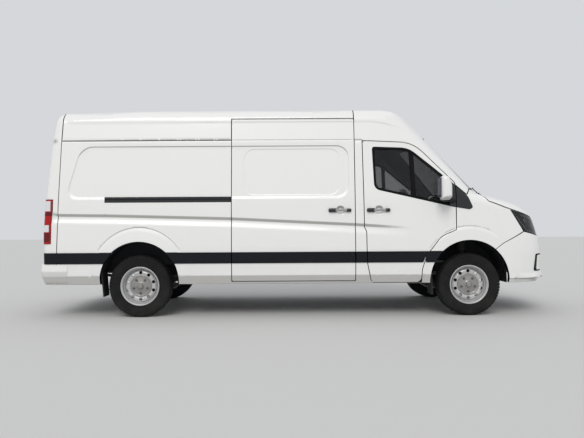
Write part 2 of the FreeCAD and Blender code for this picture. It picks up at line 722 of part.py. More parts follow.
def rear_edge_y(z):
    """Hinge edge of the rear door at height z."""
    return 892 if z < 1330 else 890 - (890 - 838) * (z - 1330) / (gutter_z - 1330)


def rear_hinges():
    """Right-hand hinge halves at the back: those on the corner post and those on the door."""
    x, y = rear_axis_x, -rear_axis_y
    body, door = [], []
    for z in rear_hinge_levels:
        top = z + hinge_height
        skin, edge = rear_skin_x(z), -rear_edge_y(z)
        body.append(hinge_half(x, y, z, top, box(x - 6, skin + 12, y - 30, y, z, top), 8))
        low, high = top + running_gap, top + hinge_height
        leaf = box(x - 6, skin - 6, y, edge + 60, low, high)
        leaf = leaf.fuse(box(skin - 8, skin + 16, edge + 12, edge + 60, low, high))
        door.append(hinge_half(x, y, low, high, leaf, 8))
    return Part.makeCompound(body), Part.makeCompound(door)


def bonnet_hinges():
    """Hinge halves at the bonnet's rear corners: those on the cowl and those on the bonnet."""
    x, z = bonnet_axis_x, bonnet_axis_z
    body = Part.makeCylinder(8, 48, V(x, -690, z), V(0, 1, 0)).fuse(box(x - 26, x, -690, -660, z - 20, z))
    arm = Part.makeCylinder(8, 36, V(x, -642 + running_gap, z), V(0, 1, 0))
    arm = arm.fuse(box(x, x + 60, -642 + running_gap, -606, z - 34, z - 6))
    return both(body), both(arm)


# Interior
bulkhead_x = 640.0
bulkhead_depth = 30.0
firewall_x = 1900.0
floor_rear = -2846.0


def floor(inside):
    """Load floor out to the side walls, and the narrower cab floor between the front wheels."""
    low = floor_top - floor_depth
    load = inside.common(box(floor_rear, 700, -far, far, low, floor_top))
    housing = both(arch_form(rear_axle_x, arch_radius + liner, -arch_inner, -1100))
    load = load.cut(housing)
    cab = box(700, 1440, -880, 880, low, floor_top).fuse(box(1440, firewall_x + 30, -512, 512, low, floor_top))
    wall_board = box(firewall_x, firewall_x + 30, -512, 512, floor_top, 1380)
    wall_board = wall_board.fuse(box(firewall_x, firewall_x + 30, -800, 800, 880, 1360))
    return load.fuse(cab).fuse(wall_board)


arch_inner = 692.0


def bulkhead(inside):
    return inside.common(box(bulkhead_x, bulkhead_x + bulkhead_depth, -far, far, floor_top, far))


def wheel_liners(inside, skin):
    """Inner wheel arches with their mud flaps."""
    shapes = []
    for x, inner, flap_low in ((front_axle_x, 520, 240), (rear_axle_x, arch_inner + liner, 234)):
        big = arch_form(x, arch_radius + liner, -inner + liner, -1100)
        small = arch_form(x, arch_radius, -inner, -1100)
        keep = box(x - 600, x + 600, -1100, 0, sill_z, 1000)
        cup = big.cut(small).common(keep).common(inside)
        low = 600 if x > 0 else floor_top - floor_depth
        cup = cup.cut(box(x - arch_radius, x + arch_radius, -inner - 1, 0, 0, low))
        lean, back, flap_top = (18, 0, 600) if x > 0 else (30, 0, floor_top - floor_depth - 1)
        flap = prism_y([(x - arch_radius - back, flap_top, 0), (x - arch_radius + 14, flap_top, 0),
                        (x - arch_radius + 14 + lean, flap_low, 0), (x - arch_radius + lean, flap_low, 0)],
                       -952, -750).cut(skin)
        shapes.append(both(biggest(cup.fuse(flap))))
    return Part.makeCompound(shapes)


seat_rows = [
    # name, lowest y, highest y
    ("driver", 170, 700),
    ("bench", -830, 100),
]


def seats():
    """Boxes under the seats, and the padded cushions and backrests on them."""
    bases, pads = [], []
    for name, y0, y1 in seat_rows:
        bases.append(box(800, 1200, y0 + 20, y1 - 20, floor_top, 860))
        cushion = prism_y([(760, 860, 10), (1250, 860, 30), (1270, 1000, 50), (800, 980, 30)], y0, y1)
        back = prism_y([(790, 970, 20), (900, 990, 40), (800, 1560, 50), (700, 1560, 50)], y0 + 10, y1 - 10)
        shape = cushion.fuse(back)
        count = 1 if y1 - y0 < 600 else 2
        wide = (y1 - y0) / count
        for i in range(count):
            middle = y0 + wide * (i + 0.5)
            head = prism_y([(715, 1550, 20), (790, 1550, 20), (765, 1740, 40), (690, 1740, 40)],
                           middle - 130, middle + 130)
            shape = shape.fuse(head)
        pads.append(shape)
    return Part.makeCompound(bases), Part.makeCompound(pads)


column_lean = math.radians(40)
wheel_hand_centre = (1450.0, 430.0, 1190.0)
hand_wheel_radius, hand_wheel_bar = 200.0, 14.0


def column_point(distance):
    """Point on the steering column's axis, measured forwards and down from the hand wheel."""
    x, y, z = wheel_hand_centre
    return (x + distance * math.cos(column_lean), y, z - distance * math.sin(column_lean))


def dashboard():
    top = prism_y([(1570, 1270, 40), (1700, 1330, 60), (firewall_x, 1345, 0), (firewall_x, 880, 0),
                   (1700, 880, 60), (1610, 1040, 60)], -850, 850)
    console = box(1600, firewall_x, -190, 190, floor_top, 900)
    column = rod(column_point(45), column_point(260), 34)
    return top.fuse(console).fuse(column)


def hand_wheel():
    axis = V(-math.cos(column_lean), 0, math.sin(column_lean))
    centre = V(*wheel_hand_centre)
    shape = Part.makeTorus(hand_wheel_radius, hand_wheel_bar, centre, axis)
    hub = Part.makeCylinder(62, 44.7, V(*column_point(45 - running_gap)), axis)
    shape = shape.fuse(hub)
    across = V(0, 1, 0)
    down = V(-math.sin(column_lean), 0, -math.cos(column_lean))
    for direction in (across, across * -1, down):
        end = centre + direction * hand_wheel_radius
        shape = shape.fuse(rod(tuple(centre - axis * 12), tuple(end), 11))
    return shape


# Trim on the doors
handle_levels = (1190.0, 1222.0)
handle_spans = {"sliding_door": (330, 556), "front_door": (765, 996)}


def pull_handle(span, side="right"):
    x0, x1 = span
    z0, z1 = handle_levels
    outer = 992.0
    bar = prism_z([(x0, -outer + 12, 0), (x0, -outer - 26, 14), (x1, -outer - 26, 14), (x1, -outer + 12, 0)],
                  z0, z1)
    bar = bar.cut(prism_z([(x0 + 26, -outer + 20, 0), (x0 + 26, -outer - 12, 8), (x1 - 26, -outer - 12, 8),
                           (x1 - 26, -outer + 20, 0)], z0 - 1, z1 + 1))
    bar = bar.cut(prism_x(body_section(0, 0), x0 - 10, x1 + 10))
    return bar if side == "right" else mirror(bar)


def mirror_unit():
    """Door mirror with its foot on the black corner trim, right-hand side."""
    plate = section_skin(-6, 0).common(side_prism([(1703, 1250, 0), (1756, 1250, 0), (1756, 1500, 8),
                                                   (1703, 1528, 8)], 1200, 640))
    foot = prism_y([(1580, 1310, 20), (1750, 1300, 30), (1750, 1360, 30), (1580, 1350, 20)], -1060, -980)
    foot = foot.cut(prism_x(body_section(0, 0), 1500, 1800))
    head = prism_z([(1560, -1022, 20), (1600, -1016, 30), (1672, -1050, 45), (1664, -1200, 60),
                    (1630, -1240, 30), (1560, -1236, 20)], 1304, 1575)
    rounding = prism_y([(1553, 1304, 40), (1680, 1304, 60), (1680, 1575, 90), (1553, 1575, 50)], -1300, -1000)
    return biggest(plate.fuse(foot).fuse(head.common(rounding)))


rail_span = (-2225.0, -790.0)
rail_levels = (1322.0, 1352.0)


def slide_rail():
    """Outer guide rail of the sliding door, on the rear quarter."""
    x0, x1 = rail_span
    z0, z1 = rail_levels
    layer = prism_x(body_section(-10, 0), x0, x1).cut(prism_x(body_section(0, 0), x0, x1))
    return layer.common(box(x0, x1, -1100, 0, z0, z1))


def trim_pieces():
    """Rubbing strips and handles, by the panel that carries them."""
    strips = []
    for x0, x1 in strip_spans:
        piece = strip(x0, x1, "right").cut(arch_form(rear_axle_x, arch_radius, -500, -1200))
        piece = piece.cut(arch_form(front_axle_x, arch_radius, -500, -1200))
        if x0 > 712:
            piece = piece.cut(side_prism(front_door_hole))
        strips += [piece, mirror(piece)]
    strips.append(strip(-790, 622, "left"))
    door_trim = strip(*door_strip_spans["front_door"], "right").common(side_prism(front_door_line, 1200, 640))
    door_trim = Part.makeCompound([door_trim, pull_handle(handle_spans["front_door"])])
    slide_trim = [strip(*door_strip_spans["sliding_door"], "right"), pull_handle(handle_spans["sliding_door"])]
    return {
        "side_strips": Part.makeCompound(strips),
        "front_door_trim_right": door_trim,
        "front_door_trim_left": mirror(door_trim),
        "sliding_door_trim": Part.makeCompound(slide_trim),
        "slide_rail": slide_rail(),
    }


def on_screen(y, z, lift):
    """Point in front of the windscreen's outer face."""
    radius = (900.0 ** 2 + 310.0 ** 2) / (2 * 310.0)
    drop = radius - math.sqrt(radius ** 2 - y ** 2)
    return (screen_foot[0] + (screen_foot[1] - z) * screen_lean - drop + lift, y, z)


def wipers(cowl):
    seat = cowl.copy()
    seat.translate(V(0, 0, 1))
    shapes = []
    for park, reach, share in ((620, 30, 0.42), (-60, -640, 0.12)):
        points = [on_screen(park + (reach - park) * i / 4, 1500 - 8 * i, 17) for i in range(5)]
        pivot_y = reach + (park - reach) * share
        pivot = on_screen(pivot_y, 1462 - 0.07 * abs(pivot_y), 12)
        shape = rod(points[0], points[1], 6)
        for a, b in zip(points[1:], points[2:]):
            shape = shape.fuse(rod(a, b, 6))
        shape = shape.fuse(rod(pivot, points[2], 6))
        post = rod(pivot, (pivot[0], pivot[1], pivot[2] - 30), 6).cut(seat)
        shapes.append(biggest(shape.fuse(biggest(post))))
    return Part.makeCompound(shapes)


def press(parts):
    """Adds the pressed forms of the sides, the arch flares and the panels of the rear doors."""
    for cutter in pressed_cuts():
        for name in ("side_right", "side_left", "sliding_door", "front_door_right", "front_door_left", "roof_rear"):
            parts[name] = parts[name].cut(cutter)
    deeper = body_volume(panel_depth, panel_depth)
    rear_layer = body_volume(-flare_proud, -flare_proud).cut(deeper)
    panels = rear_layer.common(rear_cuts())
    for name in ("rear_door_right", "rear_door_left"):
        parts[name] = parts[name].cut(panels)
    flares = rear_layer.common(arch_rings())
    rear_flares = flares.common(box(-far, 0, -far, far, 0, far))
    wing = flares.common(side_prism(fender_line)).cut(side_prism(front_door_hole, 1200, 640))
    parts["side_right"] = parts["side_right"].fuse(rear_flares.common(box(-far, 0, -far, 0, 0, far)))
    parts["side_left"] = parts["side_left"].fuse(rear_flares.common(box(-far, 0, 0, far, 0, far)))
    parts["fender_right"] = parts["fender_right"].fuse(wing)


def pillar_trims():
    """Black panels on the wings, ahead of the front doors' windows."""
    line = [(1766, 1480, 0), (1890, 1372, 60), (1958, 1222, 30), (1905, 1206, 40), (1766, 1232, 0)]
    layer = body_volume(-trim_proud, -trim_proud).cut(body_volume(0, 0))
    return both(layer.common(side_prism(line)))


trim_proud = 4.0


def build():
    """Every piece by name."""
    outside = body_volume(0, 0)
    inside = body_volume(wall, roof_wall)
    skin = outside.cut(inside).cut(box(-far, far, -far, far, 0, sill_z))
    skin = skin.cut(all_arches(arch_radius, 560, 1100))
    parts = body_panels(skin)
    press(parts)
    parts["pillar_trims"] = pillar_trims()
    parts.update(glazing())
    parts.update(bumpers())
    parts["grille"] = grille(skin)
    parts.update(trim_pieces())
    body_hinge, door_hinge = front_hinges()
    parts["fender_right"] = parts["fender_right"].fuse(body_hinge)
    parts["fender_left"] = mirror(parts["fender_right"])
    parts["front_door_right"] = parts["front_door_right"].fuse(door_hinge)
    parts["front_door_left"] = mirror(parts["front_door_right"])
    body_hinge, door_hinge = rear_hinges()
    parts["rear_frame"] = parts["rear_frame"].fuse(both(body_hinge))
    parts["rear_door_right"] = parts["rear_door_right"].fuse(door_hinge)
    parts["rear_door_left"] = parts["rear_door_left"].fuse(mirror(door_hinge))
    body_hinge, bonnet_hinge = bonnet_hinges()
    parts["cowl"] = parts["cowl"].fuse(body_hinge)
    parts["bonnet"] = parts["bonnet"].fuse(bonnet_hinge)
    parts["mirror_right"] = mirror_unit()
    parts["mirror_left"] = mirror(parts["mirror_right"])
    parts["floor"] = floor(inside)
    for name in ("rear_frame", "side_left", "side_right", "side_strips", "floor"):
        parts[name] = parts[name].cut(parts["rear_bumper"])
    parts["bulkhead"] = bulkhead(inside)
    parts["wheel_liners"] = wheel_liners(inside, skin)
    parts["seat_bases"], parts["seats"] = seats()
    parts["dashboard"] = dashboard()
    parts["steering_wheel"] = hand_wheel()
    parts["wipers"] = wipers(parts["cowl"])
    parts.update(wheels())
    parts["knuckle_right"] = knuckle()
    parts["knuckle_left"] = mirror(parts["knuckle_right"])
    parts["front_suspension"] = front_suspension()
    parts["rear_axle"] = rear_axle()
    parts["leaf_springs"] = leaf_springs()
    parts["frame_rails"] = frame_rails()
    parts["driveline"] = driveline()
    parts["engine"] = engine()
    parts["fuel_tank"] = fuel_tank()
    parts["exhaust"] = exhaust()
    return parts


def main():
    os.makedirs("parts", exist_ok=True)
    for name, shape in build().items():
        if not shape.isValid():
            print("not valid:", name)
        print(name, len(shape.Solids), round(shape.Volume / 1e6, 2))
        shape.exportStep("parts/" + name + ".step")


if __name__ == "__main__":
    main()
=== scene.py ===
"""White long-wheelbase panel van with a raised roof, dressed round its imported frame.

The body skins are cut from one smooth body form, so that creases, flares and recesses run on from
panel to panel. Lengths are in metres: +X is the front, +Y the left side, +Z up.
"""

from __future__ import annotations

import json
import logging
import math
from dataclasses import dataclass, field
from enum import Enum
from typing import Callable, Sequence

import bmesh
import bpy
import numpy as np
from mathutils import Matrix, Vector
from mathutils.geometry import delaunay_2d_cdt

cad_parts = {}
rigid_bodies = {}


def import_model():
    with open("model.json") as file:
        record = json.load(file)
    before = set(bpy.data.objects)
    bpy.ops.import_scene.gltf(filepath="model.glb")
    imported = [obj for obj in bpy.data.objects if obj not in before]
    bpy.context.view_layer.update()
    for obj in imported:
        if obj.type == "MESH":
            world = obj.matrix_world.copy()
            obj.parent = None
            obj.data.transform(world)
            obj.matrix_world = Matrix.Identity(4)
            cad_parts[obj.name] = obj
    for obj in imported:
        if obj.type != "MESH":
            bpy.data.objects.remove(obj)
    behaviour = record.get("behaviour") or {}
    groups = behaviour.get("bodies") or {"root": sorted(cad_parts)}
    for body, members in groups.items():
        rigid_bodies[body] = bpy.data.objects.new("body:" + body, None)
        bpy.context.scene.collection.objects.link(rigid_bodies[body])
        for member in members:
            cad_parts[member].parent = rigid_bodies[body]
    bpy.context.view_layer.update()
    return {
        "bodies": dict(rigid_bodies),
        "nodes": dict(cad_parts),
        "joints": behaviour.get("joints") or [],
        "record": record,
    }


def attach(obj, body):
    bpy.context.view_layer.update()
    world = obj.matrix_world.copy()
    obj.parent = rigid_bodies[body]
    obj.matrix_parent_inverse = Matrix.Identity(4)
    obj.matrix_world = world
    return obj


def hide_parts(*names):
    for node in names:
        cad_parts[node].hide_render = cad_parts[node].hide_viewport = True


log = logging.getLogger("van")

Array = np.ndarray
Row = tuple[float, float, float]


def add_object(name: str, data: bpy.types.ID) -> bpy.types.Object:
    """A new object in the scene, at the origin."""
    obj = bpy.data.objects.new(name, data)
    bpy.context.scene.collection.objects.link(obj)
    return obj


def rectangle(u0: float, v0: float, u1: float, v1: float, radius: float = 0.0) -> list[Row]:
    """Corner rows of a rectangle with one radius at all corners."""
    return [(u0, v0, radius), (u1, v0, radius), (u1, v1, radius), (u0, v1, radius)]


def on_side(rows: Sequence[Row], sign: int) -> list[Row]:
    """Rows given by their distance from the middle, placed on the side of the sign."""
    return [(sign * y, z, radius) for y, z, radius in rows]


def settle(piece: bpy.types.Object, body: str, slot: str, nodes: Sequence[str] = ()) -> bpy.types.Object:
    """Says which body a piece rides on and which nodes it stands for."""
    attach(piece, body)
    if nodes:
        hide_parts(*nodes)
    return piece


class Side(Enum):
    """Which side of the van a piece is on; the value is the sign of y."""

    RIGHT = -1
    LEFT = 1

    @property
    def word(self) -> str:
        """The side as the node names spell it."""
        return self.name.lower()


def smooth_step(t: Array) -> Array:
    """Goes from 0 to 1 as t does, with level ends."""
    t = np.clip(t, 0.0, 1.0)
    return t * t * (3.0 - 2.0 * t)


def bump(t: Array) -> Array:
    """A round hump of height 1 at t = 0 that ends at t = -1 and 1."""
    return smooth_step(1.0 - np.abs(t))


def rounded_path(rows: Sequence[Row], closed: bool, step: float = 0.02) -> Array:
    """Straight runs joined by tangent arcs.

    Args:
        rows: first coordinate, second coordinate and corner radius of each corner.
        closed: whether the last corner joins the first.
        step: the longest distance between two points.

    Returns:
        The points in order, one row each.
    """
    pts = np.array([[a, b] for a, b, _ in rows], float)
    count = len(pts)
    path: list[Array] = []
    for i, (_, _, radius) in enumerate(rows):
        here = pts[i]
        if radius <= 0 or (not closed and i in (0, count - 1)):
            path.append(here)
            continue
        back, on = pts[i - 1] - here, pts[(i + 1) % count] - here
        room = 0.49 * min(np.linalg.norm(back), np.linalg.norm(on))
        u, w = back / np.linalg.norm(back), on / np.linalg.norm(on)
        half = math.acos(float(np.clip(u @ w, -1, 1))) / 2
        reach = min(radius / math.tan(half), room)
        r = reach * math.tan(half)
        centre = here + (u + w) / np.linalg.norm(u + w) * r / math.sin(half)
        start, end = here + u * reach - centre, here + w * reach - centre
        turn = math.pi - 2 * half
        parts = max(2, int(math.ceil(r * turn / min(step, max(r * 0.2, 0.002)))))
        for k in range(parts + 1):
            t = k / parts
            along = start * math.sin((1 - t) * turn) + end * math.sin(t * turn)
            path.append(centre + along / math.sin(turn))
    dense: list[Array] = []
    last = len(path) if closed else len(path) - 1
    for i in range(last):
        a, b = path[i], path[(i + 1) % len(path)]
        span = np.linalg.norm(b - a)
        if span < 1e-7:
            continue
        parts = max(1, int(math.ceil(span / step)))
        dense += [a + (b - a) * k / parts for k in range(parts)]
    if not closed:
        dense.append(path[-1])
    return np.array(dense)


class Curve:
    """A curve through rounded corners, looked up by its first coordinate."""

    def __init__(self, *rows: Row) -> None:
        """Samples the curve through rows of place, value and corner radius."""
        path = rounded_path(rows, closed=False, step=0.01)
        self.at_rows, self.value_rows = path[:, 0], path[:, 1]

    def __call__(self, at: Array) -> Array:
        """The curve's value at each place."""
        return np.interp(at, self.at_rows, self.value_rows)


def round_join(a: Array, b: Array, radius: float | Array) -> Array:
    """Distance to the overlap of two bodies, with the edge between them rounded to radius."""
    p, q = np.maximum(a + radius, 0), np.maximum(b + radius, 0)
    return np.minimum(-radius, np.maximum(a, b)) + np.hypot(p, q)


@dataclass(frozen=True)
class BodyForm:
    """The van's outer form as one smooth surface, which every skin panel is cut from."""

    roof: float = 2.442
    rear: float = -2.917
    sill: float = 0.368
    gutter: float = 2.012
    front_axle: float = 1.915
    rear_axle: float = -1.835
    arch_z: float = 0.412
    arch_radius: float = 0.445
    crown_radius: float = 4.84
    shoulder_radius: float = 0.105
    screen_foot: tuple[float, float] = (2.231, 1.430)
    screen_top: tuple[float, float] = (1.590, 2.095)
    screen_sweep: float = 0.310
    screen_cosine: float = 0.72
    bowls: tuple[float, ...] = (0.451, 0.890)
    bowl_z: float = 1.204
    section: Curve = Curve((0.20, 0.940, 0), (0.368, 0.952, 0.018), (0.474, 0.988, 0.012),
                           (0.76, 1.000, 0.9), (1.33, 0.982, 1.5), (2.012, 0.922, 0.5),
                           (2.364, 0.872, 0), (2.6, 0.8385, 0))
    cab_top: Curve = Curve((-3.2, 2.405, 0), (-1.9, 2.442, 4.0), (1.168, 2.442, 1.51), (1.594, 2.095, 0),
                           (2.6, 1.05, 0))
    nose_top: Curve = Curve((1.2, 1.719, 0), (2.56, 1.338, 0.9), (2.88, 1.095, 0), (3.2, 0.852, 0))
    nose_back: Curve = Curve((0.2, 0.13, 0), (0.412, 0.020, 0.004), (0.420, -0.034, 0.004),
                             (0.436, -0.030, 0.004), (0.476, -0.004, 0.006), (0.69, -0.006, 0.3),
                             (0.85, 0.014, 0.3), (1.003, 0.057, 0.3), (1.10, 0.089, 0.3), (1.5, 0.22, 0))
    nose_plan: Curve = Curve((0, 2.990, 0), (0.160, 2.988, 0.9), (0.430, 2.945, 0.9), (0.838, 2.762, 0.42),
                             (0.990, 2.430, 0.7), (1.02, 2.2, 0))
    rear_face: Curve = Curve((0.0, -2.917, 0), (1.0, -2.917, 0.9), (1.4, -2.895, 1.5), (2.012, -2.849, 1.5),
                             (2.40, -2.795, 0))
    character: Curve = Curve((-2.9, 1.166, 0), (-2.1, 1.152, 0), (-0.78, 1.113, 0), (0.617, 1.040, 0),
                             (1.459, 0.985, 0))

    def screen_x(self, y: Array, z: Array) -> Array:
        """Where the windscreen's surface is at y and z."""
        lean = (self.screen_foot[0] - self.screen_top[0]) / (self.screen_top[1] - self.screen_foot[1])
        radius = (0.9 ** 2 + self.screen_sweep ** 2) / (2 * self.screen_sweep)
        drop = radius - np.sqrt(np.maximum(radius ** 2 - y ** 2, 0.01))
        return self.screen_foot[0] + (self.screen_foot[1] - z) * lean - drop

    def crown(self, top: Array, y: Array) -> Array:
        """Height of a crowned surface whose centre line is at top."""
        low = self.roof - self.crown_radius
        return np.sqrt(np.maximum((top - low) ** 2 - y ** 2, 0)) + low

    @staticmethod
    def crease(x: Array | float) -> Array | float:
        """Height of the crease where the side turns into the roof."""
        return 2.214 - 0.5 * np.maximum(x - 0.75, 0.0) ** 2

    @staticmethod
    def flare_radius(height: Array | float) -> Array | float:
        """Outer radius of an arch's flare, for a height round the arch from 0 to 1."""
        return 0.545 + 0.047 * height ** 2

    def relief(self, x: Array, z: Array) -> Array:
        """How far the pressed details stand out from the plain side, in or out.

        Args:
            x: places along the van.
            z: heights.

        Returns:
            The offset at each place, outwards positive.
        """
        out = recess(x, z, Recess.QUARTER) + recess(x, z, Recess.DOOR)
        out += self.flare(x, z, self.rear_axle) + self.flare(x, z, self.front_axle)
        below = self.character(x) - z
        groove = smooth_step((below + 0.022) / 0.042) * (1 - smooth_step((below - 0.022) / 0.085))
        out -= 0.019 * groove * smooth_step((1.38 - x) / 0.7) * smooth_step((x + 2.84) / 0.06)
        out -= 0.004 * bump((z - self.gutter) / 0.010) * smooth_step((0.72 - x) / 0.02)
        for middle in self.bowls:
            out -= 0.024 * (1 - smooth_step((np.hypot(x - middle, z - self.bowl_z) - 0.022) / 0.034))
        out += 0.005 * smooth_step((z - self.crease(x)) / 0.026) * smooth_step((x + 2.70) / 0.1)
        return out

    def press(self, y: Array, z: Array) -> Array:
        """How far the back stands in at the panels pressed into the rear doors, inwards negative."""
        out = recess(np.abs(y), z, Recess.BACK_UPPER) + recess(np.abs(y), z, Recess.BACK_LOWER)
        return out + recess(y, z, Recess.PLATE)

    def flare(self, x: Array, z: Array, axle: float) -> Array:
        """The raised ring round one wheel arch."""
        r = np.hypot(x - axle, z - self.arch_z)
        outer = self.flare_radius(np.clip((z - self.arch_z) / np.maximum(r, 0.01), 0, 1))
        ring = 1 - smooth_step((r - outer + 0.022) / 0.022)
        rise = 0.010 + 0.010 * np.clip((outer - r) / 0.12, 0, 1)
        ahead = smooth_step((x - self.front_axle) / 0.05)
        low = 0.736 - 0.40 * ahead
        groove = 0.006 * bump((r - outer - 0.010) / 0.014) * smooth_step((z - low - 0.004) / 0.02)
        return rise * ring * smooth_step((z - low + 0.004) / 0.008) - groove

    def side(self, x: Array, z: Array) -> Array:
        """Half width of the side with its pressed details."""
        return self.section(z) + self.relief(x, z)

    def distance(self, p: Array) -> Array:
        """Roughly how far each point is outside the body, negative inside."""
        x, y, z = p[:, 0], np.abs(p[:, 1]), p[:, 2]
        side = y - self.side(x, z)
        side = round_join(side, (0.0204 * (x - 1.5) + (y - 1.005)), 0.02)
        side = round_join(side, self.rear_face(z) - self.press(p[:, 1], z) - x, 0.045)
        roof = z - self.crown(self.cab_top(x), y)
        screen = (x - self.screen_x(y, z)) * self.screen_cosine
        top = round_join(roof, screen, 0.02)
        cab = np.maximum(round_join(side, top, self.shoulder_radius), x - self.screen_foot[0])
        slope = (self.nose_plan(y + 0.004) - self.nose_plan(y - 0.004)) / 0.008
        plan = (x + self.nose_back(z) - self.nose_plan(y)) / np.hypot(1, slope)
        bonnet = z - self.crown(self.nose_top(x), y)
        edge = 0.085 - 0.045 * smooth_step((x - 2.6) / 0.2)
        nose = round_join(round_join(side, plan, 0.06), bonnet, edge)
        return np.minimum(cab, nose)

    def along(self, origins: Array, direction: Array, reach: float) -> Array:
        """Where rays from outside meet the body form.

        Args:
            origins: starts, outside the body.
            direction: one direction for all, or one row for each.
            reach: a distance along the rays that is inside the body.

        Returns:
            The meeting points.
        """
        low = np.zeros(len(origins))
        high = np.full(len(origins), reach)
        direction = np.broadcast_to(direction, origins.shape)
        for _ in range(30):
            mid = (low + high) / 2
            outside = self.distance(origins + direction * mid[:, None]) > 0
            low = np.where(outside, mid, low)
            high = np.where(outside, high, mid)
        return origins + direction * ((low + high) / 2)[:, None]

    def normals(self, p: Array) -> Array:
        """Unit outward normals of the body form at points on it."""
        step = 0.0015
        grad = np.stack([
            self.distance(p + np.eye(3)[i] * step) - self.distance(p - np.eye(3)[i] * step) for i in range(3)
        ], axis=1)
        return grad / np.maximum(np.linalg.norm(grad, axis=1, keepdims=True), 1e-9)


@dataclass(frozen=True)
class PlainForm(BodyForm):
    """The same body with plain sides, for flat trim."""

    def relief(self, x: Array, z: Array) -> Array:
        """No pressed details."""
        return 0.0 * x


class Recess(Enum):
    """Pressed panels: depth, edge width, foot width, rear lean, then x0, x1, z0, z1, corner."""

    QUARTER = (-0.010, 0.010, 0.028, 0.275, -2.678, 0.554, 1.335, 1.950, 0.14)
    DOOR = (-0.003, 0.012, 0.0, 0.0, -0.653, 0.463, 1.379, 1.915, 0.13)
    BACK_UPPER = (-0.012, 0.016, 0.0, 0.0, 0.110, 0.770, 1.400, 1.960, 0.09)
    BACK_LOWER = (-0.012, 0.016, 0.0, 0.0, 0.110, 0.800, 0.960, 1.290, 0.09)
    PLATE = (-0.012, 0.012, 0.0, 0.0, 0.150, 0.690, 0.720, 0.850, 0.02)


def recess(x: Array, z: Array, kind: Recess) -> Array:
    """Offset of one pressed panel with rounded corners, an eased edge and a sloping foot."""
    depth, edge, foot, lean, x0, x1, z0, z1, radius = kind.value
    x = x - lean * (z - z0) * smooth_step((-1.6 - x) / 0.6)
    dx = np.abs(x - (x0 + x1) / 2) - (x1 - x0) / 2 + radius
    dz = np.abs(z - (z0 + z1) / 2) - (z1 - z0) / 2 + radius
    outside = np.hypot(np.maximum(dx, 0), np.maximum(dz, 0)) + np.minimum(np.maximum(dx, dz), 0) - radius
    wide = edge + foot * smooth_step((z0 + 0.15 - z) / 0.1)
    return depth * (1 - smooth_step((outside + wide) / wide))


@dataclass(frozen=True)
class Lift:
    """Pushes flat points onto the body form along one direction.

    Attributes:
        form: the body form.
        direction: unit direction of travel, inwards.
        across: direction of the first flat coordinate.
        up: direction of the second flat coordinate.
        through: a point on the plane, inside the body, at which the search ends.
    """

    form: BodyForm
    direction: tuple[float, float, float]
    across: tuple[float, float, float]
    up: tuple[float, float, float]
    through: tuple[float, float, float] = (0.0, 0.0, 0.6)

    def rays(self, uv: Array) -> tuple[Array, Array, float]:
        """Starts, unit directions and reach of the rays for flat points."""
        d, a, b = np.array(self.direction), np.array(self.across), np.array(self.up)
        reach = 4.0
        start = uv[:, :1] * a + uv[:, 1:] * b + d * (float(d @ np.array(self.through)) - reach)
        return start, np.broadcast_to(d, start.shape), reach

    def flatten(self, points: Array) -> Array:
        """Flat places of points in space."""
        return np.stack([points @ np.array(self.across), points @ np.array(self.up)], 1)

    def __call__(self, uv: Array, sink: float = 0.0) -> tuple[Array, Array, Array]:
        """Lifts flat points.

        Args:
            uv: one flat point a row.
            sink: how far below the form the points end.

        Returns:
            Points, outward normals and the inward unit direction at each.
        """
        start, inward, reach = self.rays(uv)
        points = self.form.along(start, inward, reach)
        return points + inward * sink, self.form.normals(points), inward


@dataclass(frozen=True)
class Fan(Lift):
    """Pulls points from all round onto the body form, towards one point inside it.

    The flat places are those of a map centred on the direction opposite to direction.
    """

    def rays(self, uv: Array) -> tuple[Array, Array, float]:
        """Starts, unit directions and reach of the rays for flat points."""
        pole, a, b = -np.array(self.direction), np.array(self.across), np.array(self.up)
        turn = np.linalg.norm(uv, axis=1, keepdims=True)
        out = pole * np.cos(turn) + (uv[:, :1] * a + uv[:, 1:] * b) * np.sinc(turn / np.pi)
        reach = 3.5
        return np.array(self.through) + out * reach, -out, reach

    def flatten(self, points: Array) -> Array:
        """Flat places of points in space."""
        out = points - np.array(self.through)
        out /= np.linalg.norm(out, axis=1, keepdims=True)
        turn = np.arccos(np.clip(out @ -np.array(self.direction), -1, 1))
        flat = np.stack([out @ np.array(self.across), out @ np.array(self.up)], 1)
        return flat / np.maximum(np.linalg.norm(flat, axis=1, keepdims=True), 1e-9) * turn[:, None]


def shift_loop(loop: Array, distance: float) -> Array:
    """Moves a closed flat loop to its own left by distance."""
    ahead, behind = np.roll(loop, -1, 0) - loop, loop - np.roll(loop, 1, 0)
    ahead /= np.maximum(np.linalg.norm(ahead, axis=1, keepdims=True), 1e-9)
    behind /= np.maximum(np.linalg.norm(behind, axis=1, keepdims=True), 1e-9)
    mean = ahead + behind
    mean /= np.maximum(np.linalg.norm(mean, axis=1, keepdims=True), 1e-9)
    left = np.stack([-mean[:, 1], mean[:, 0]], 1)
    spread = np.maximum((left * np.stack([-ahead[:, 1], ahead[:, 0]], 1)).sum(1), 0.5)
    return loop + left * (distance / spread)[:, None]


def signed_area(loop: Array) -> float:
    """Area of a flat loop, positive when it runs anticlockwise."""
    x, y = loop[:, 0], loop[:, 1]
    return float((x * np.roll(y, -1) - np.roll(x, -1) * y).sum() / 2)


def turning_left(loop: Array) -> Array:
    """The loop, run anticlockwise."""
    return loop[::-1] if signed_area(loop) < 0 else loop


def drawn_in(radius: float, near: float) -> float:
    """How far a rounded edge is drawn in at a distance from its end."""
    return radius - math.sqrt(max(radius ** 2 - max(radius - near, 0) ** 2, 0))


def inside_loop(points: Array, loop: Array) -> Array:
    """Which flat points are inside a closed loop."""
    x, y = points[:, 0], points[:, 1]
    inside = np.zeros(len(points), bool)
    for (ax, ay), (bx, by) in zip(loop, np.roll(loop, -1, 0)):
        cross = (ay > y) != (by > y)
        if by != ay:
            inside ^= cross & (x < (bx - ax) * (y - ay) / (by - ay) + ax)
    return inside


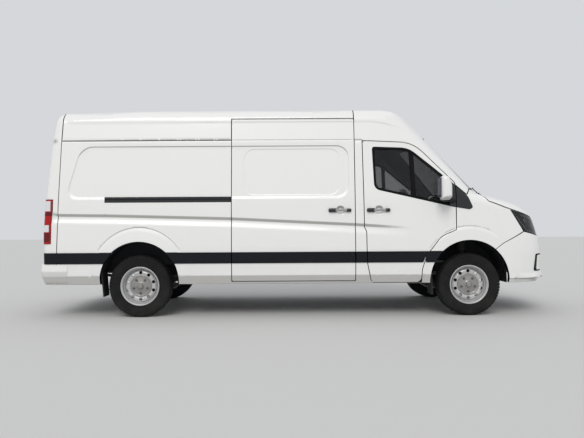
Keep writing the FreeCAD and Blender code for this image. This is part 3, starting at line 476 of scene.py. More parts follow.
def near_loop(points: Array, loop: Array, distance: float) -> Array:
    """Which flat points are within distance of a loop's points."""
    close = np.zeros(len(points), bool)
    for chunk in range(0, len(points), 2000):
        part = points[chunk:chunk + 2000]
        gaps = ((part[:, None, :] - loop[None, :, :]) ** 2).sum(2).min(1)
        close[chunk:chunk + 2000] = gaps < distance ** 2
    return close


@dataclass
class MeshParts:
    """Vertices, faces and corner normals gathered before they become a mesh."""

    points: list[Array] = field(default_factory=list)
    faces: list[list[int]] = field(default_factory=list)
    normals: list[Array] = field(default_factory=list)
    count: int = 0

    def add_points(self, points: Array) -> Array:
        """Adds points and returns their numbers."""
        self.points.append(np.asarray(points, float))
        self.count += len(points)
        return np.arange(self.count - len(points), self.count)

    def add_faces(self, faces: Array, vertex_normals: dict[int, Array] | Array, offset: int = 0) -> None:
        """Adds faces whose corner normals are looked up by vertex number less offset."""
        for face in faces:
            self.faces.append([int(i) for i in face])
            self.normals.append(np.array([vertex_normals[int(i) - offset] for i in face]))

    def strip(self, a: Array, b: Array, na: Array, nb: Array) -> None:
        """Closed band of quads between two rings with their normals."""
        n = len(a)
        for i in range(n):
            j = (i + 1) % n
            self.faces.append([int(a[i]), int(a[j]), int(b[j]), int(b[i])])
            self.normals.append(np.array([na[i], na[j], nb[j], nb[i]]))

    def build(self, name: str, material: bpy.types.Material) -> bpy.types.Object:
        """Makes the object, with its faces turned outwards to agree with their normals."""
        points = np.concatenate(self.points)
        votes = 0.0
        for face, normal in zip(self.faces[:400], self.normals[:400]):
            a, b, c = points[face[0]], points[face[1]], points[face[2]]
            votes += float(np.dot(np.cross(b - a, c - a), normal.mean(0)))
        if votes < 0:
            self.faces = [face[::-1] for face in self.faces]
            self.normals = [normal[::-1] for normal in self.normals]
        mesh = bpy.data.meshes.new(name)
        mesh.from_pydata(points.tolist(), [], self.faces)
        mesh.polygons.foreach_set("use_smooth", np.ones(len(mesh.polygons), bool))
        mesh.normals_split_custom_set(np.concatenate(self.normals).tolist())
        mesh.materials.append(material)
        return add_object(name, mesh)


@dataclass
class Shape:
    """Points and faces of one closed solid, or several."""

    points: Array
    faces: list[list[int]]

    @staticmethod
    def grid(rows: int, columns: int, around: bool) -> list[list[int]]:
        """Faces of a net of points; around closes it from the last row to the first."""
        last = rows if around else rows - 1
        faces = []
        for row in range(last):
            first, second = row * columns, (row + 1) % rows * columns
            for column in range(columns):
                beside = (column + 1) % columns
                faces.append([first + column, first + beside, second + beside, second + column])
        return faces

    @classmethod
    def turned(cls, rows: Sequence[Row], sign: int = 1, count: int = 72) -> "Shape":
        """A closed profile turned about the y axis.

        Args:
            rows: radius, offset along y and corner radius.
            sign: side that positive offsets point to.
            count: steps of the whole turn.

        Returns:
            The ring.
        """
        loop = rounded_path(tuple(rows), closed=True, step=0.03)
        turns = np.linspace(0, 2 * math.pi, count, endpoint=False)
        ring = [np.stack([loop[:, 0] * math.cos(t), sign * loop[:, 1], loop[:, 0] * math.sin(t)], 1)
                for t in turns]
        return cls(np.concatenate(ring), cls.grid(count, len(loop), True))

    @classmethod
    def loft(cls, loops: Sequence[Array]) -> "Shape":
        """Closed loops of equal length joined in order, with flat ends."""
        count = len(loops[0])
        faces = cls.grid(len(loops), count, False)
        ends = [list(range(count))[::-1], [(len(loops) - 1) * count + i for i in range(count)]]
        return cls(np.concatenate(loops), faces + ends)

    @classmethod
    def tube(cls, path: Sequence[tuple[float, float, float]], radius: float, count: int = 12) -> "Shape":
        """A round bar along a path."""
        points = np.array(path, float)
        ahead = np.gradient(points, axis=0)
        ahead /= np.linalg.norm(ahead, axis=1, keepdims=True)
        helper = np.array((0.0, 0.0, 1.0)) if abs(ahead[0][2]) < 0.9 else np.array((1.0, 0.0, 0.0))
        across = np.cross(ahead, helper)
        across /= np.linalg.norm(across, axis=1, keepdims=True)
        up = np.cross(across, ahead)
        turns = np.linspace(0, 2 * math.pi, count, endpoint=False)
        return cls.loft([p + radius * (np.outer(np.cos(turns), a) + np.outer(np.sin(turns), u))
                         for p, a, u in zip(points, across, up)])

    @classmethod
    def block(cls, size: Sequence[float], radius: float, cuts: int = 4) -> "Shape":
        """A box with rounded edges, centred at the origin.

        Args:
            size: length in x, y and z.
            radius: radius of the edges.
            cuts: steps across each rounded edge and each flat.

        Returns:
            The box.
        """
        half = np.array(size) / 2
        radius = min(radius, float(half.min()) * 0.999)
        inner = half - radius
        corner = np.tan(np.linspace(0, math.pi / 4, cuts + 1))
        sides = []
        for i in range(3):
            flat = np.linspace(-inner[i], inner[i], cuts + 2)[1:-1]
            rounded = radius * corner
            sides.append(np.concatenate([-inner[i] - rounded[::-1], flat, inner[i] + rounded]))
        points: dict[tuple[int, ...], int] = {}
        found: list[Array] = []
        faces: list[list[int]] = []

        def number(key: tuple[int, ...]) -> int:
            """Number of the point with a key, which is made when first met."""
            if key not in points:
                place = np.array([sides[i][key[i]] for i in range(3)])
                core = np.clip(place, -inner, inner)
                away = place - core
                points[key] = len(found)
                found.append(core + away / max(float(np.linalg.norm(away)), 1e-9) * radius)
            return points[key]

        last = len(sides[0]) - 1
        for axis in range(3):
            a, b = (axis + 1) % 3, (axis + 2) % 3
            for end in (0, last):
                for i in range(last):
                    for j in range(last):
                        ring = []
                        for di, dj in ((0, 0), (1, 0), (1, 1), (0, 1)):
                            key = [0, 0, 0]
                            key[axis], key[a], key[b] = end, i + di, j + dj
                            ring.append(number(tuple(key)))
                        faces.append(ring if end else ring[::-1])
        return cls(np.array(found), faces)

    def moved(self, offset: Sequence[float]) -> "Shape":
        """The shape moved by offset."""
        return Shape(self.points + np.array(offset), self.faces)

    def tilted(self, axis: int, degrees: float) -> "Shape":
        """The shape turned about an axis through the origin."""
        turn = np.array(Matrix.Rotation(math.radians(degrees), 3, "XYZ"[axis]))
        return Shape(self.points @ turn.T, self.faces)

    def warped(self, change: Callable[[Array], Array]) -> "Shape":
        """The shape with its points changed."""
        return Shape(change(self.points.copy()), self.faces)

    def on(self, side: Side) -> "Shape":
        """The right-hand shape, or its mirror image for the left."""
        return self if side is Side.RIGHT else Shape(self.points * np.array([1.0, -1.0, 1.0]), self.faces)

    def __add__(self, other: "Shape") -> "Shape":
        """Both shapes in one."""
        shift = len(self.points)
        return Shape(np.concatenate([self.points, other.points]),
                     self.faces + [[i + shift for i in face] for face in other.faces])

    def build(self, name: str, material: bpy.types.Material, sharp: float = 38.0) -> bpy.types.Object:
        """Makes the object, faces outwards, with edges over sharp degrees left sharp."""
        mesh = bpy.data.meshes.new(name)
        mesh.from_pydata(self.points.tolist(), [], self.faces)
        work = bmesh.new()
        work.from_mesh(mesh)
        bmesh.ops.recalc_face_normals(work, faces=work.faces)
        work.to_mesh(mesh)
        work.free()
        mesh.polygons.foreach_set("use_smooth", np.ones(len(mesh.polygons), bool))
        mesh.set_sharp_from_angle(angle=math.radians(sharp))
        mesh.materials.append(material)
        return add_object(name, mesh)


class Tree:
    """Adds nodes to a tree: each input gets a value or a link."""

    def __init__(self, tree: bpy.types.NodeTree) -> None:
        """Keeps the tree."""
        self.tree = tree

    @classmethod
    def group(cls, name: str, kind: str, inputs: dict[str, str], outputs: dict[str, str]) -> "Tree":
        """A new node group whose sockets have the given names and kinds."""
        tree = bpy.data.node_groups.new(name, kind + "NodeTree")
        for way, sockets in (("INPUT", inputs), ("OUTPUT", outputs)):
            for label, socket in sockets.items():
                tree.interface.new_socket(label, in_out=way, socket_type="NodeSocket" + socket)
        return cls(tree)

    def add(self, kind: str, inputs: dict[str | int, object] | None = None,
            **settings: object) -> bpy.types.Node:
        """Adds a node.

        Args:
            kind: the node's type.
            inputs: a value or an output socket for each input by name or number.
            settings: the node's own properties, set first.

        Returns:
            The node.
        """
        node = self.tree.nodes.new(kind)
        for key, value in settings.items():
            setattr(node, key, value)
        for key, value in (inputs or {}).items():
            if isinstance(value, bpy.types.NodeSocket):
                self.tree.links.new(value, node.inputs[key])
            else:
                node.inputs[key].default_value = value
        return node

    def math(self, operation: str, *values: object) -> bpy.types.NodeSocket:
        """Result of an arithmetic node."""
        return self.add("ShaderNodeMath", dict(enumerate(values)), operation=operation).outputs[0]

    def ramp(self, value: bpy.types.NodeSocket, low: float, high: float) -> bpy.types.NodeSocket:
        """The value's place between low and high, from 0 to 1."""
        inputs = {"From Min": low, "From Max": high, "Value": value}
        return self.add("ShaderNodeMapRange", inputs).outputs["Result"]


class Repeater:
    """Repeats one piece round an axle with Geometry Nodes and keeps the result as a plain mesh."""

    def __init__(self) -> None:
        """Builds the node tree: a piece, a count, a first angle, a centre and a material."""
        kinds = {"Piece": "Geometry", "Count": "Int", "First Angle": "Float", "Centre": "Vector",
                 "Material": "Material"}
        tree = Tree.group("ring_of_pieces", "Geometry", kinds, {"Ring": "Geometry"})
        start = tree.add("NodeGroupInput").outputs
        points = tree.add("GeometryNodePoints", {"Count": start["Count"]})
        share = tree.math("DIVIDE", tree.add("GeometryNodeInputIndex").outputs[0], start["Count"])
        turn = tree.math("MULTIPLY_ADD", share, 2 * math.pi, start["First Angle"])
        angle = tree.add("ShaderNodeCombineXYZ", {"Y": turn})
        copies = tree.add("GeometryNodeInstanceOnPoints", {
            "Points": points.outputs[0], "Instance": start["Piece"], "Rotation": angle.outputs[0]})
        real = tree.add("GeometryNodeRealizeInstances", {0: copies.outputs[0]})
        place = tree.add("GeometryNodeTransform", {
            "Geometry": real.outputs[0], "Translation": start["Centre"]})
        paint = tree.add("GeometryNodeSetMaterial", {
            "Geometry": place.outputs[0], "Material": start["Material"]})
        tree.add("NodeGroupOutput", {"Ring": paint.outputs[0]})
        self.tree = tree.tree
        self.sockets = {item.name: item.identifier for item in self.tree.interface.items_tree
                        if item.in_out == "INPUT"}

    def __call__(self, name: str, piece: Shape, count: int, centre: Sequence[float],
                 material: bpy.types.Material, first: float = 0.0) -> bpy.types.Object:
        """A ring of copies.

        Args:
            name: the ring's name.
            piece: one copy, placed as seen from the axle.
            count: how many copies.
            centre: the axle's place.
            material: the finish of all copies.
            first: angle of the first copy, in degrees.

        Returns:
            A linked object with a plain mesh.
        """
        seed = piece.build(name + "_seed", material)
        modifier = seed.modifiers.new("ring", "NODES")
        modifier.node_group = self.tree
        values = {"Count": count, "First Angle": math.radians(first), "Centre": tuple(centre),
                  "Material": material}
        for key, value in values.items():
            modifier[self.sockets[key]] = value
        seed.update_tag()
        graph = bpy.context.evaluated_depsgraph_get()
        mesh = bpy.data.meshes.new_from_object(seed.evaluated_get(graph))
        mesh.name = name
        bpy.data.objects.remove(seed)
        return add_object(name, mesh)


LiftCall = Callable[[Array, float], tuple[Array, Array, Array]]


@dataclass
class Panel:
    """A closed panel: an outline with holes, lifted onto a form, with rounded edges and a back.

    Attributes:
        outline: flat outline, with rows of two coordinates and a corner radius.
        holes: flat outlines of the openings.
        thickness: depth of the panel, inwards.
        gap: how far each edge stands back from the outline.
        edge: radius of the folded edge.
        spacing: distance between points in the middle of the panel.
        features: extra flat points along pressed lines.
        sink: how far the panel's face lies below the form.
        step: the longest distance between two points of an outline.
    """

    outline: Sequence[Row] | Array
    holes: Sequence[Sequence[Row] | Array] = ()
    thickness: float = 0.05
    gap: float = 0.002
    edge: float = 0.0025
    spacing: float = 0.05
    features: Array | None = None
    sink: float = 0.0
    step: float = 0.02

    def loops(self) -> list[Array]:
        """The outline, anticlockwise, and the holes, clockwise, at the panel's own edge."""
        result = []
        for number, rows in enumerate([self.outline, *self.holes]):
            loop = rows
            if not isinstance(rows, np.ndarray):
                loop = rounded_path(tuple(rows), closed=True, step=self.step)
            if (signed_area(loop) > 0) == (number > 0):
                loop = loop[::-1]
            result.append(shift_loop(loop, self.gap))
        return result

    def triangulate(self, inner: list[Array]) -> tuple[Array, Array]:
        """Flat points and triangles inside the inner loops."""
        boundary = np.concatenate(inner)
        low, high = inner[0].min(0), inner[0].max(0)
        us = np.arange(low[0] + self.spacing / 2, high[0], self.spacing)
        vs = np.arange(low[1] + self.spacing / 2, high[1], self.spacing)
        grid = np.array([(u + (k % 2) * self.spacing / 2, v) for k, v in enumerate(vs) for u in us])
        grid = grid.reshape(-1, 2)
        extra = [grid]
        if self.features is not None and len(self.features):
            near = self.features[(self.features > low).all(1) & (self.features < high).all(1)]
            if len(near) and len(grid):
                extra[0] = grid[~near_loop(grid, near, self.spacing * 0.3)]
            extra.append(near)
        spare = np.concatenate(extra)
        if len(spare):
            keep = inside_loop(spare, inner[0])
            for hole in inner[1:]:
                keep &= ~inside_loop(spare, hole)
            spare = spare[keep]
        if len(spare):
            spare = spare[~near_loop(spare, boundary, 0.006)]
        flat = np.concatenate([boundary, spare]) if len(spare) else boundary
        edges, start = [], 0
        for loop in inner:
            n = len(loop)
            edges += [(start + i, start + (i + 1) % n) for i in range(n)]
            start += n
        found = delaunay_2d_cdt([Vector(p) for p in flat.tolist()], edges, [], 0, 1e-7, False)
        points = np.array([tuple(p) for p in found[0]])
        if len(points) != len(flat):
            log.warning("%d flat points became %d", len(flat), len(points))
        triangles = np.array(found[2])
        middle = points[triangles].mean(1)
        keep = inside_loop(middle, inner[0])
        for hole in inner[1:]:
            keep &= ~inside_loop(middle, hole)
        return points, triangles[keep]

    def build(self, name: str, lift: LiftCall, material: bpy.types.Material) -> bpy.types.Object:
        """Lifts the panel and closes it.

        Args:
            name: the object's name.
            lift: gives points, normals and inward directions for flat points and a depth.
            material: the finish of the whole panel.

        Returns:
            The linked object.
        """
        outer = self.loops()
        inner = [shift_loop(loop, self.edge) for loop in outer]
        flat, triangles = self.triangulate(inner)
        skin, normal, inward = lift(flat, self.sink)
        parts = MeshParts()
        front = parts.add_points(skin)
        back = parts.add_points(skin + inward * self.thickness)
        parts.add_faces(triangles + front[0], normal, int(front[0]))
        parts.add_faces(triangles[:, ::-1] + back[0], -normal, int(back[0]))
        start = 0
        for loop_in, loop_out in zip(inner, outer):
            n = len(loop_in)
            ids_in, ids_back = front[start:start + n], back[start:start + n]
            n_in = normal[start:start + n]
            rim, _, inward_rim = lift(loop_out, self.sink)
            away = rim - skin[start:start + n]
            away /= np.maximum(np.linalg.norm(away, axis=1, keepdims=True), 1e-9)
            middle, _, inward_mid = lift(loop_in + (loop_out - loop_in) * 0.7, self.sink)
            ids_mid = parts.add_points(middle + inward_mid * self.edge * 0.3)
            ids_rim = parts.add_points(rim + inward_rim * self.edge)
            ids_low = parts.add_points(rim + inward_rim * self.thickness)
            n_mid = (n_in + away) / np.linalg.norm(n_in + away, axis=1, keepdims=True)
            parts.strip(ids_in, ids_mid, n_in, n_mid)
            parts.strip(ids_mid, ids_rim, n_mid, away)
            parts.strip(ids_rim, ids_low, away, away)
            parts.strip(ids_low, ids_back, -n_in, -n_in)
            start += n
        return parts.build(name, material)


@dataclass(frozen=True)
class Finish:
    """One surface finish.

    Attributes:
        colour: linear base colour.
        rough: roughness.
        metal: share of metal.
        coat: clear coat on top.
        grain: height of the fine grain, in metres.
        grain_scale: how fine the grain is.
        dust: how much road dust the lowest parts carry.
        shine: strength of the plain reflection.
        under: painted shade: how dark the parts that face down are painted, standing in for the shade under
            them.
    """

    name: str
    colour: tuple[float, float, float]
    rough: float = 0.5
    metal: float = 0.0
    coat: float = 0.0
    grain: float = 0.0
    grain_scale: float = 300.0
    dust: float = 0.0
    shine: float = 0.5
    under: float = 0.0


# Paint: under paints shade on the parts that face down.
PAINT = Finish("paint", (0.845, 0.845, 0.83), rough=0.36, coat=0.45, dust=0.10, under=0.58)
STRIP = Finish("strip_plastic", (0.0075, 0.0085, 0.0125), rough=0.50, grain=0.0004, dust=0.03, shine=0.16)
PLASTIC = Finish("bumper_plastic", (0.016, 0.017, 0.020), rough=0.62, grain=0.0006, dust=0.08, shine=0.2)
BLACK = Finish("black_gloss", (0.006, 0.007, 0.009), rough=0.22, coat=0.3)
RUBBER = Finish("rubber", (0.006, 0.006, 0.007), rough=0.8, grain=0.0004, shine=0.15)
TYRE = Finish("tyre", (0.0075, 0.0078, 0.0085), rough=0.82, grain=0.0006, dust=0.10, shine=0.2)
SILVER = Finish("wheel_silver", (0.60, 0.60, 0.60), rough=0.30, metal=0.55, dust=0.12)
CAP = Finish("wheel_cap", (0.33, 0.32, 0.31), rough=0.34, metal=0.55, dust=0.12)
# The handle bar's grey is a painted reflection on a black handle.
HANDLE_PAINTED_SHEEN = Finish("handle_grey", (0.30, 0.30, 0.30), rough=0.3, coat=0.4)
NUT = Finish("wheel_nut", (0.16, 0.155, 0.15), rough=0.42, metal=0.7)
DISC = Finish("brake_steel", (0.12, 0.11, 0.10), rough=0.5, metal=0.9)
CHASSIS = Finish("chassis_steel", (0.012, 0.012, 0.013), rough=0.7, grain=0.0005, dust=0.35)
CAST = Finish("cast_metal", (0.16, 0.16, 0.165), rough=0.6, metal=0.7, grain=0.001, grain_scale=150)
GALVANISED = Finish("exhaust_steel", (0.30, 0.29, 0.28), rough=0.5, metal=0.8, dust=0.4)
FLOOR_STEEL = Finish("floor_steel", (0.30, 0.31, 0.32), rough=0.55, dust=0.2)
INTERIOR = Finish("interior_plastic", (0.035, 0.037, 0.040), rough=0.7, grain=0.0005)
SEAT = Finish("seat_fabric", (0.045, 0.05, 0.065), rough=0.95, grain=0.0012, grain_scale=900)
GLASS_TINT = (0.012, 0.016, 0.018)
LAMP_RED = Finish("lamp_red", (0.40, 0.004, 0.006), rough=0.2, coat=0.2, shine=0.3)
LAMP_DARK = Finish("lamp_dark_red", (0.13, 0.002, 0.003), rough=0.2, coat=0.2, shine=0.3)
LAMP_WHITE = Finish("lamp_white", (0.72, 0.72, 0.74), rough=0.12, coat=0.8)
REFLECTOR = Finish("lamp_reflector", (0.75, 0.77, 0.80), rough=0.12, metal=0.95)


class Dresser:
    """Builds the materials, which share the grain group and the group of road dust and painted shade."""

    def __init__(self) -> None:
        """Starts with no material made."""
        self.made: dict[str, bpy.types.Material] = {}
        self.dust_group = self.make_dust_group()
        self.grain_group = self.make_grain_group()

    @staticmethod
    def make_dust_group() -> bpy.types.NodeTree:
        """Colour and roughness changed by road dust, which is thickest low down, and by painted shade on
        what faces down.
        """
        tree = Tree.group("road_dust", "Shader",
                          {"Colour": "Color", "Rough": "Float", "Amount": "Float", "Under": "Float"},
                          {"Colour": "Color", "Rough": "Float"})
        start = tree.add("NodeGroupInput").outputs
        place = tree.add("ShaderNodeTexCoord").outputs["Object"]
        height = tree.ramp(tree.add("ShaderNodeSeparateXYZ", {0: place}).outputs["Z"], 1.0, 0.15)
        noise = tree.add("ShaderNodeTexNoise", {"Vector": place, "Scale": 7.0, "Detail": 5.0})
        patchy = tree.ramp(noise.outputs["Fac"], 0.3, 0.75)
        share = tree.math("MULTIPLY", tree.math("MULTIPLY", height, patchy), start["Amount"])
        normal = tree.add("ShaderNodeNewGeometry").outputs["Normal"]
        # Painted shade: what faces down is mixed towards the dust colour, standing in for the shade under
        # it.
        down = tree.ramp(tree.add("ShaderNodeSeparateXYZ", {0: normal}).outputs["Z"], -0.06, -0.38)
        # Share of the brown grey: the greater of the painted shade and the road dust.
        total = tree.math("MAXIMUM", tree.math("MULTIPLY", down, start["Under"]), share)
        dust = {"Factor": total, "A": start["Colour"], "B": (0.19, 0.175, 0.155, 1)}
        tint = tree.add("ShaderNodeMix", dust, data_type="RGBA")
        dull = tree.add("ShaderNodeMix", {"Factor": total, "A": start["Rough"], "B": 0.9})
        tree.add("NodeGroupOutput", {"Colour": tint.outputs["Result"], "Rough": dull.outputs["Result"]})
        return tree.tree

    @staticmethod
    def make_grain_group() -> bpy.types.NodeTree:
        """Normal with a fine grain of a given height and scale."""
        tree = Tree.group("fine_grain", "Shader", {"Height": "Float", "Scale": "Float"},
                          {"Normal": "Vector"})
        start = tree.add("NodeGroupInput").outputs
        place = tree.add("ShaderNodeTexCoord").outputs["Object"]
        noise = tree.add("ShaderNodeTexNoise", {"Vector": place, "Scale": start["Scale"]})
        grain = tree.add("ShaderNodeBump", {"Height": noise.outputs["Fac"], "Distance": start["Height"]})
        tree.add("NodeGroupOutput", {"Normal": grain.outputs["Normal"]})
        return tree.tree

    def material(self, name: str, values: dict[str, object]) -> tuple[bpy.types.Material, bpy.types.Node]:
        """A new material and its shader, with the shader's inputs set."""
        material = bpy.data.materials.new(name)
        material.use_nodes = True
        shader = material.node_tree.nodes["Principled BSDF"]
        for key, value in values.items():
            shader.inputs[key].default_value = value
        self.made[name] = material
        return material, shader

    def __call__(self, finish: Finish) -> bpy.types.Material:
        """The material of a finish, made once."""
        if finish.name in self.made:
            return self.made[finish.name]
        colour = (*finish.colour, 1)
        material, shader = self.material(finish.name, {
            "Base Color": colour, "Roughness": finish.rough, "Metallic": finish.metal,
            "Coat Weight": finish.coat, "Coat Roughness": 0.08, "Specular IOR Level": finish.shine,
        })
        tree = Tree(material.node_tree)
        # The group adds road dust and, by the finish's under value, painted shade on what faces down.
        if finish.dust:
            dust = tree.add("ShaderNodeGroup", {
                "Colour": colour, "Rough": finish.rough, "Amount": finish.dust, "Under": finish.under,
            }, node_tree=self.dust_group)
            tree.tree.links.new(dust.outputs["Colour"], shader.inputs["Base Color"])
            tree.tree.links.new(dust.outputs["Rough"], shader.inputs["Roughness"])
        if finish.grain:
            grain = tree.add("ShaderNodeGroup", {"Height": finish.grain, "Scale": finish.grain_scale},
                             node_tree=self.grain_group)
            tree.tree.links.new(grain.outputs["Normal"], shader.inputs["Normal"])
        return material

    def glass(self, name: str, tint: tuple[float, float, float], clear: float) -> bpy.types.Material:
        """Tinted glass: a clear share that lets light straight through and a mirror on top.

        Args:
            name: the material's name.
            tint: colour of what shows through.
            clear: share of light let through, straight on.

        Returns:
            The material.
        """
        material, shader = self.material(name, {"Base Color": (*tint, 1), "Roughness": 0.02})
        tree = Tree(material.node_tree)
        edge = tree.add("ShaderNodeLayerWeight", {"Blend": 0.2})
        mix = tree.add("ShaderNodeMapRange", {
            "To Min": 1 - clear, "To Max": 1.0, "Value": edge.outputs["Facing"]})
        tree.tree.links.new(mix.outputs["Result"], shader.inputs["Alpha"])
        return material


@dataclass
class Stage:
    """Floor, light and camera."""

    camera_place: tuple[float, float, float] = (-0.2157, -7.598, 1.033)
    yaw: float = 0.0011
    pitch: float = 0.0114
    roll: float = -0.0057
    lens: float = 35.98
    shift: float = 0.01635
    sky_colour: tuple[float, float, float, float] = (0.90, 0.92, 0.95, 1)
    sky_strength: float = 0.74
    ground_colour: tuple[float, float, float, float] = (0.62, 0.62, 0.61, 1)
    ground_reach: float = 40.0
    sun_turn: tuple[float, float, float] = (math.radians(48), math.radians(-12), 0)
    sun_colour: tuple[float, float, float] = (1.0, 0.975, 0.94)
    sun_power: float = 1.2
    sun_softness: float = math.radians(30)

    def build(self) -> None:
        """Adds everything that is not the van."""
        scene = bpy.context.scene
        scene.view_settings.view_transform = "Standard"
        world = bpy.data.worlds.new("sky")
        world.use_nodes = True
        sky = world.node_tree.nodes["Background"]
        sky.inputs["Color"].default_value = self.sky_colour
        sky.inputs["Strength"].default_value = self.sky_strength
        scene.world = world
        self.floor()
        self.sun()
        self.camera()

    def floor(self) -> None:
        """Pale ground, well beyond the van on each side."""
        mesh = bpy.data.meshes.new("ground")
        reach = self.ground_reach
        corners = [(x, y, 0) for x, y, _ in rectangle(-reach, -reach, reach, reach)]
        mesh.from_pydata(corners, [], [(0, 1, 2, 3)])
        ground = add_object("ground", mesh)
        material = bpy.data.materials.new("ground")
        material.use_nodes = True
        shader = material.node_tree.nodes["Principled BSDF"]
        shader.inputs["Base Color"].default_value = self.ground_colour
        shader.inputs["Roughness"].default_value = 0.95
        mesh.materials.append(material)

    def sun(self) -> None:
        """One soft sun."""
        data = bpy.data.lights.new("key", "SUN")
        data.energy = self.sun_power
        data.color = self.sun_colour
        data.angle = self.sun_softness
        add_object("key", data).rotation_euler = self.sun_turn

    def camera(self) -> None:
        """Camera where the photograph was taken from."""
        data = bpy.data.cameras.new("camera")
        data.lens = self.lens
        data.sensor_width = 36.0
        data.shift_x = self.shift
        camera = add_object("camera", data)
        camera.location = self.camera_place
        camera.rotation_euler = (math.pi / 2 + self.pitch, -self.roll, -self.yaw)
        bpy.context.scene.camera = camera


def circle(x: float, z: float, radius: float, count: int = 24) -> Array:
    """Points of a flat circle."""
    turns = np.linspace(0, 2 * math.pi, count, endpoint=False)
    return np.stack([x + radius * np.cos(turns), z + radius * np.sin(turns)], 1)


def mirrored(points: Array) -> Array:
    """The same path on the other side, run backwards so that the two join up."""
    return points[::-1] * np.array([1.0, -1.0, 1.0])


def without_repeats(loop: Array, least: float = 0.002) -> Array:
    """A closed loop without points that all but coincide."""
    keep = np.linalg.norm(loop - np.roll(loop, 1, 0), axis=1) > least
    return loop[keep]


class BodyLines:
    """The seams between panels, as seen square on, with a corner radius at each corner."""

    front_door: Sequence[Row] = (
        (0.709, 2.003, 0.03), (1.291, 1.975, 0.40), (1.761, 1.513, 0.06), (1.763, 0.976, 0.02),
        (1.592, 0.903, 0.22), (1.423, 0.688, 0.25), (1.369, 0.52, 0.30), (1.369, 0.381, 0.06),
        (0.798, 0.381, 0.06), (0.749, 0.62, 0.20), (0.745, 0.963, 0.03), (0.721, 1.018, 0.03),
    )
    cab_window: Sequence[Row] = (
        (0.822, 1.928, 0.025), (1.235, 1.912, 0.26), (1.700, 1.532, 0.012), (1.700, 1.247, 0.012),
        (0.842, 1.446, 0.08),
    )
    sliding_door: Sequence[Row] = (
        (-0.7865, 0.4035, 0.02), (0.6185, 0.4035, 0.02), (0.6185, 2.2605, 0.02), (-0.7865, 2.2605, 0.02),
    )
    doorway: Sequence[Row] = (
        (0.895, 0.623, 0.02), (0.893, 1.33, 1.5), (0.841, 2.012, 0.4), (0.803, 2.299, 0.09),
        (-0.803, 2.299, 0.09), (-0.841, 2.012, 0.4), (-0.893, 1.33, 1.5), (-0.895, 0.623, 0.02),
    )
    screen_half: Sequence[Row] = ((0.803, 1.461, 0), (0.690, 2.068, 0.09), (0.0, 2.096, 0))
    bonnet_side: Sequence[Row] = (
        (2.093, 1.368, 0), (2.135, 1.300, 0), (2.328, 1.226, 0), (2.390, 1.209, 0), (2.529, 1.170, 0),
        (2.653, 1.137, 0), (2.790, 1.091, 0), (2.862, 1.065, 0),
    )
    headlamp: Sequence[Row] = (
        (2.389, 1.206, 0.01), (2.528, 1.167, 0), (2.652, 1.134, 0), (2.789, 1.088, 0), (2.862, 1.062, 0.03),
        (2.872, 0.880, 0.03), (2.557, 0.950, 0.01),
    )


class LampLines:
    """Outlines in the lamps in side view, and the parts of the tail lamps."""

    guide: Sequence[Row] = (
        (2.430, 1.170, 0), (2.446, 1.170, 0), (2.616, 0.966, 0.03), (2.852, 0.912, 0), (2.852, 0.898, 0),
        (2.608, 0.952, 0.04),
    )
    shelf: Sequence[Row] = (
        (2.532, 1.152, 0), (2.652, 1.119, 0), (2.785, 1.074, 0), (2.852, 1.046, 0), (2.852, 1.034, 0),
        (2.780, 1.060, 0), (2.646, 1.104, 0), (2.538, 1.132, 0),
    )
    mask: Sequence[Row] = (
        (2.398, 1.200, 0), (2.422, 1.192, 0), (2.582, 0.952, 0), (2.562, 0.955, 0),
    )
    bowls: Sequence[tuple[float, float]] = ((2.600, 1.075), (2.720, 1.010))
    tail_front: Curve = Curve((0.80, -2.826, 0), (1.135, -2.822, 0.05), (1.165, -2.812, 0.02),
                              (1.215, -2.808, 0.02), (1.40, -2.806, 0))
    # Lowest z, highest z, margin all round, proud, finish
    tail: Sequence[tuple[float, float, float, float, Finish]] = (
        (0.841, 1.344, 0.000, 0.007, LAMP_RED), (0.864, 0.966, 0.012, 0.0085, LAMP_DARK),
        (0.976, 1.056, 0.020, 0.0090, LAMP_WHITE), (1.160, 1.198, 0.006, 0.0085, LAMP_DARK),
        (1.210, 1.326, 0.020, 0.0090, LAMP_WHITE),
    )


class NoseLines:
    """Outlines in the front bumper as seen from ahead: distance from the middle, height, corner radius."""

    slot: Sequence[Row] = tuple(rectangle(-0.42, 0.486, 0.42, 0.562, 0.02))
    slot_back: Sequence[Row] = tuple(rectangle(-0.44, 0.478, 0.44, 0.575, 0.004))
    pocket: Sequence[Row] = (
        (0.580, 0.496, 0.012), (0.872, 0.496, 0.02), (0.846, 0.690, 0.02), (0.580, 0.690, 0.012),
    )
    pocket_back: Sequence[Row] = (
        (0.572, 0.488, 0.01), (0.880, 0.488, 0.01), (0.854, 0.698, 0.01), (0.572, 0.698, 0.01),
    )
    blade: Sequence[Row] = (
        (0.690, 0.506, 0.01), (0.842, 0.506, 0.02), (0.826, 0.680, 0.02), (0.690, 0.680, 0.01),
    )
    fog_lamp: Sequence[Row] = tuple(rectangle(0.596, 0.540, 0.668, 0.646, 0.02))


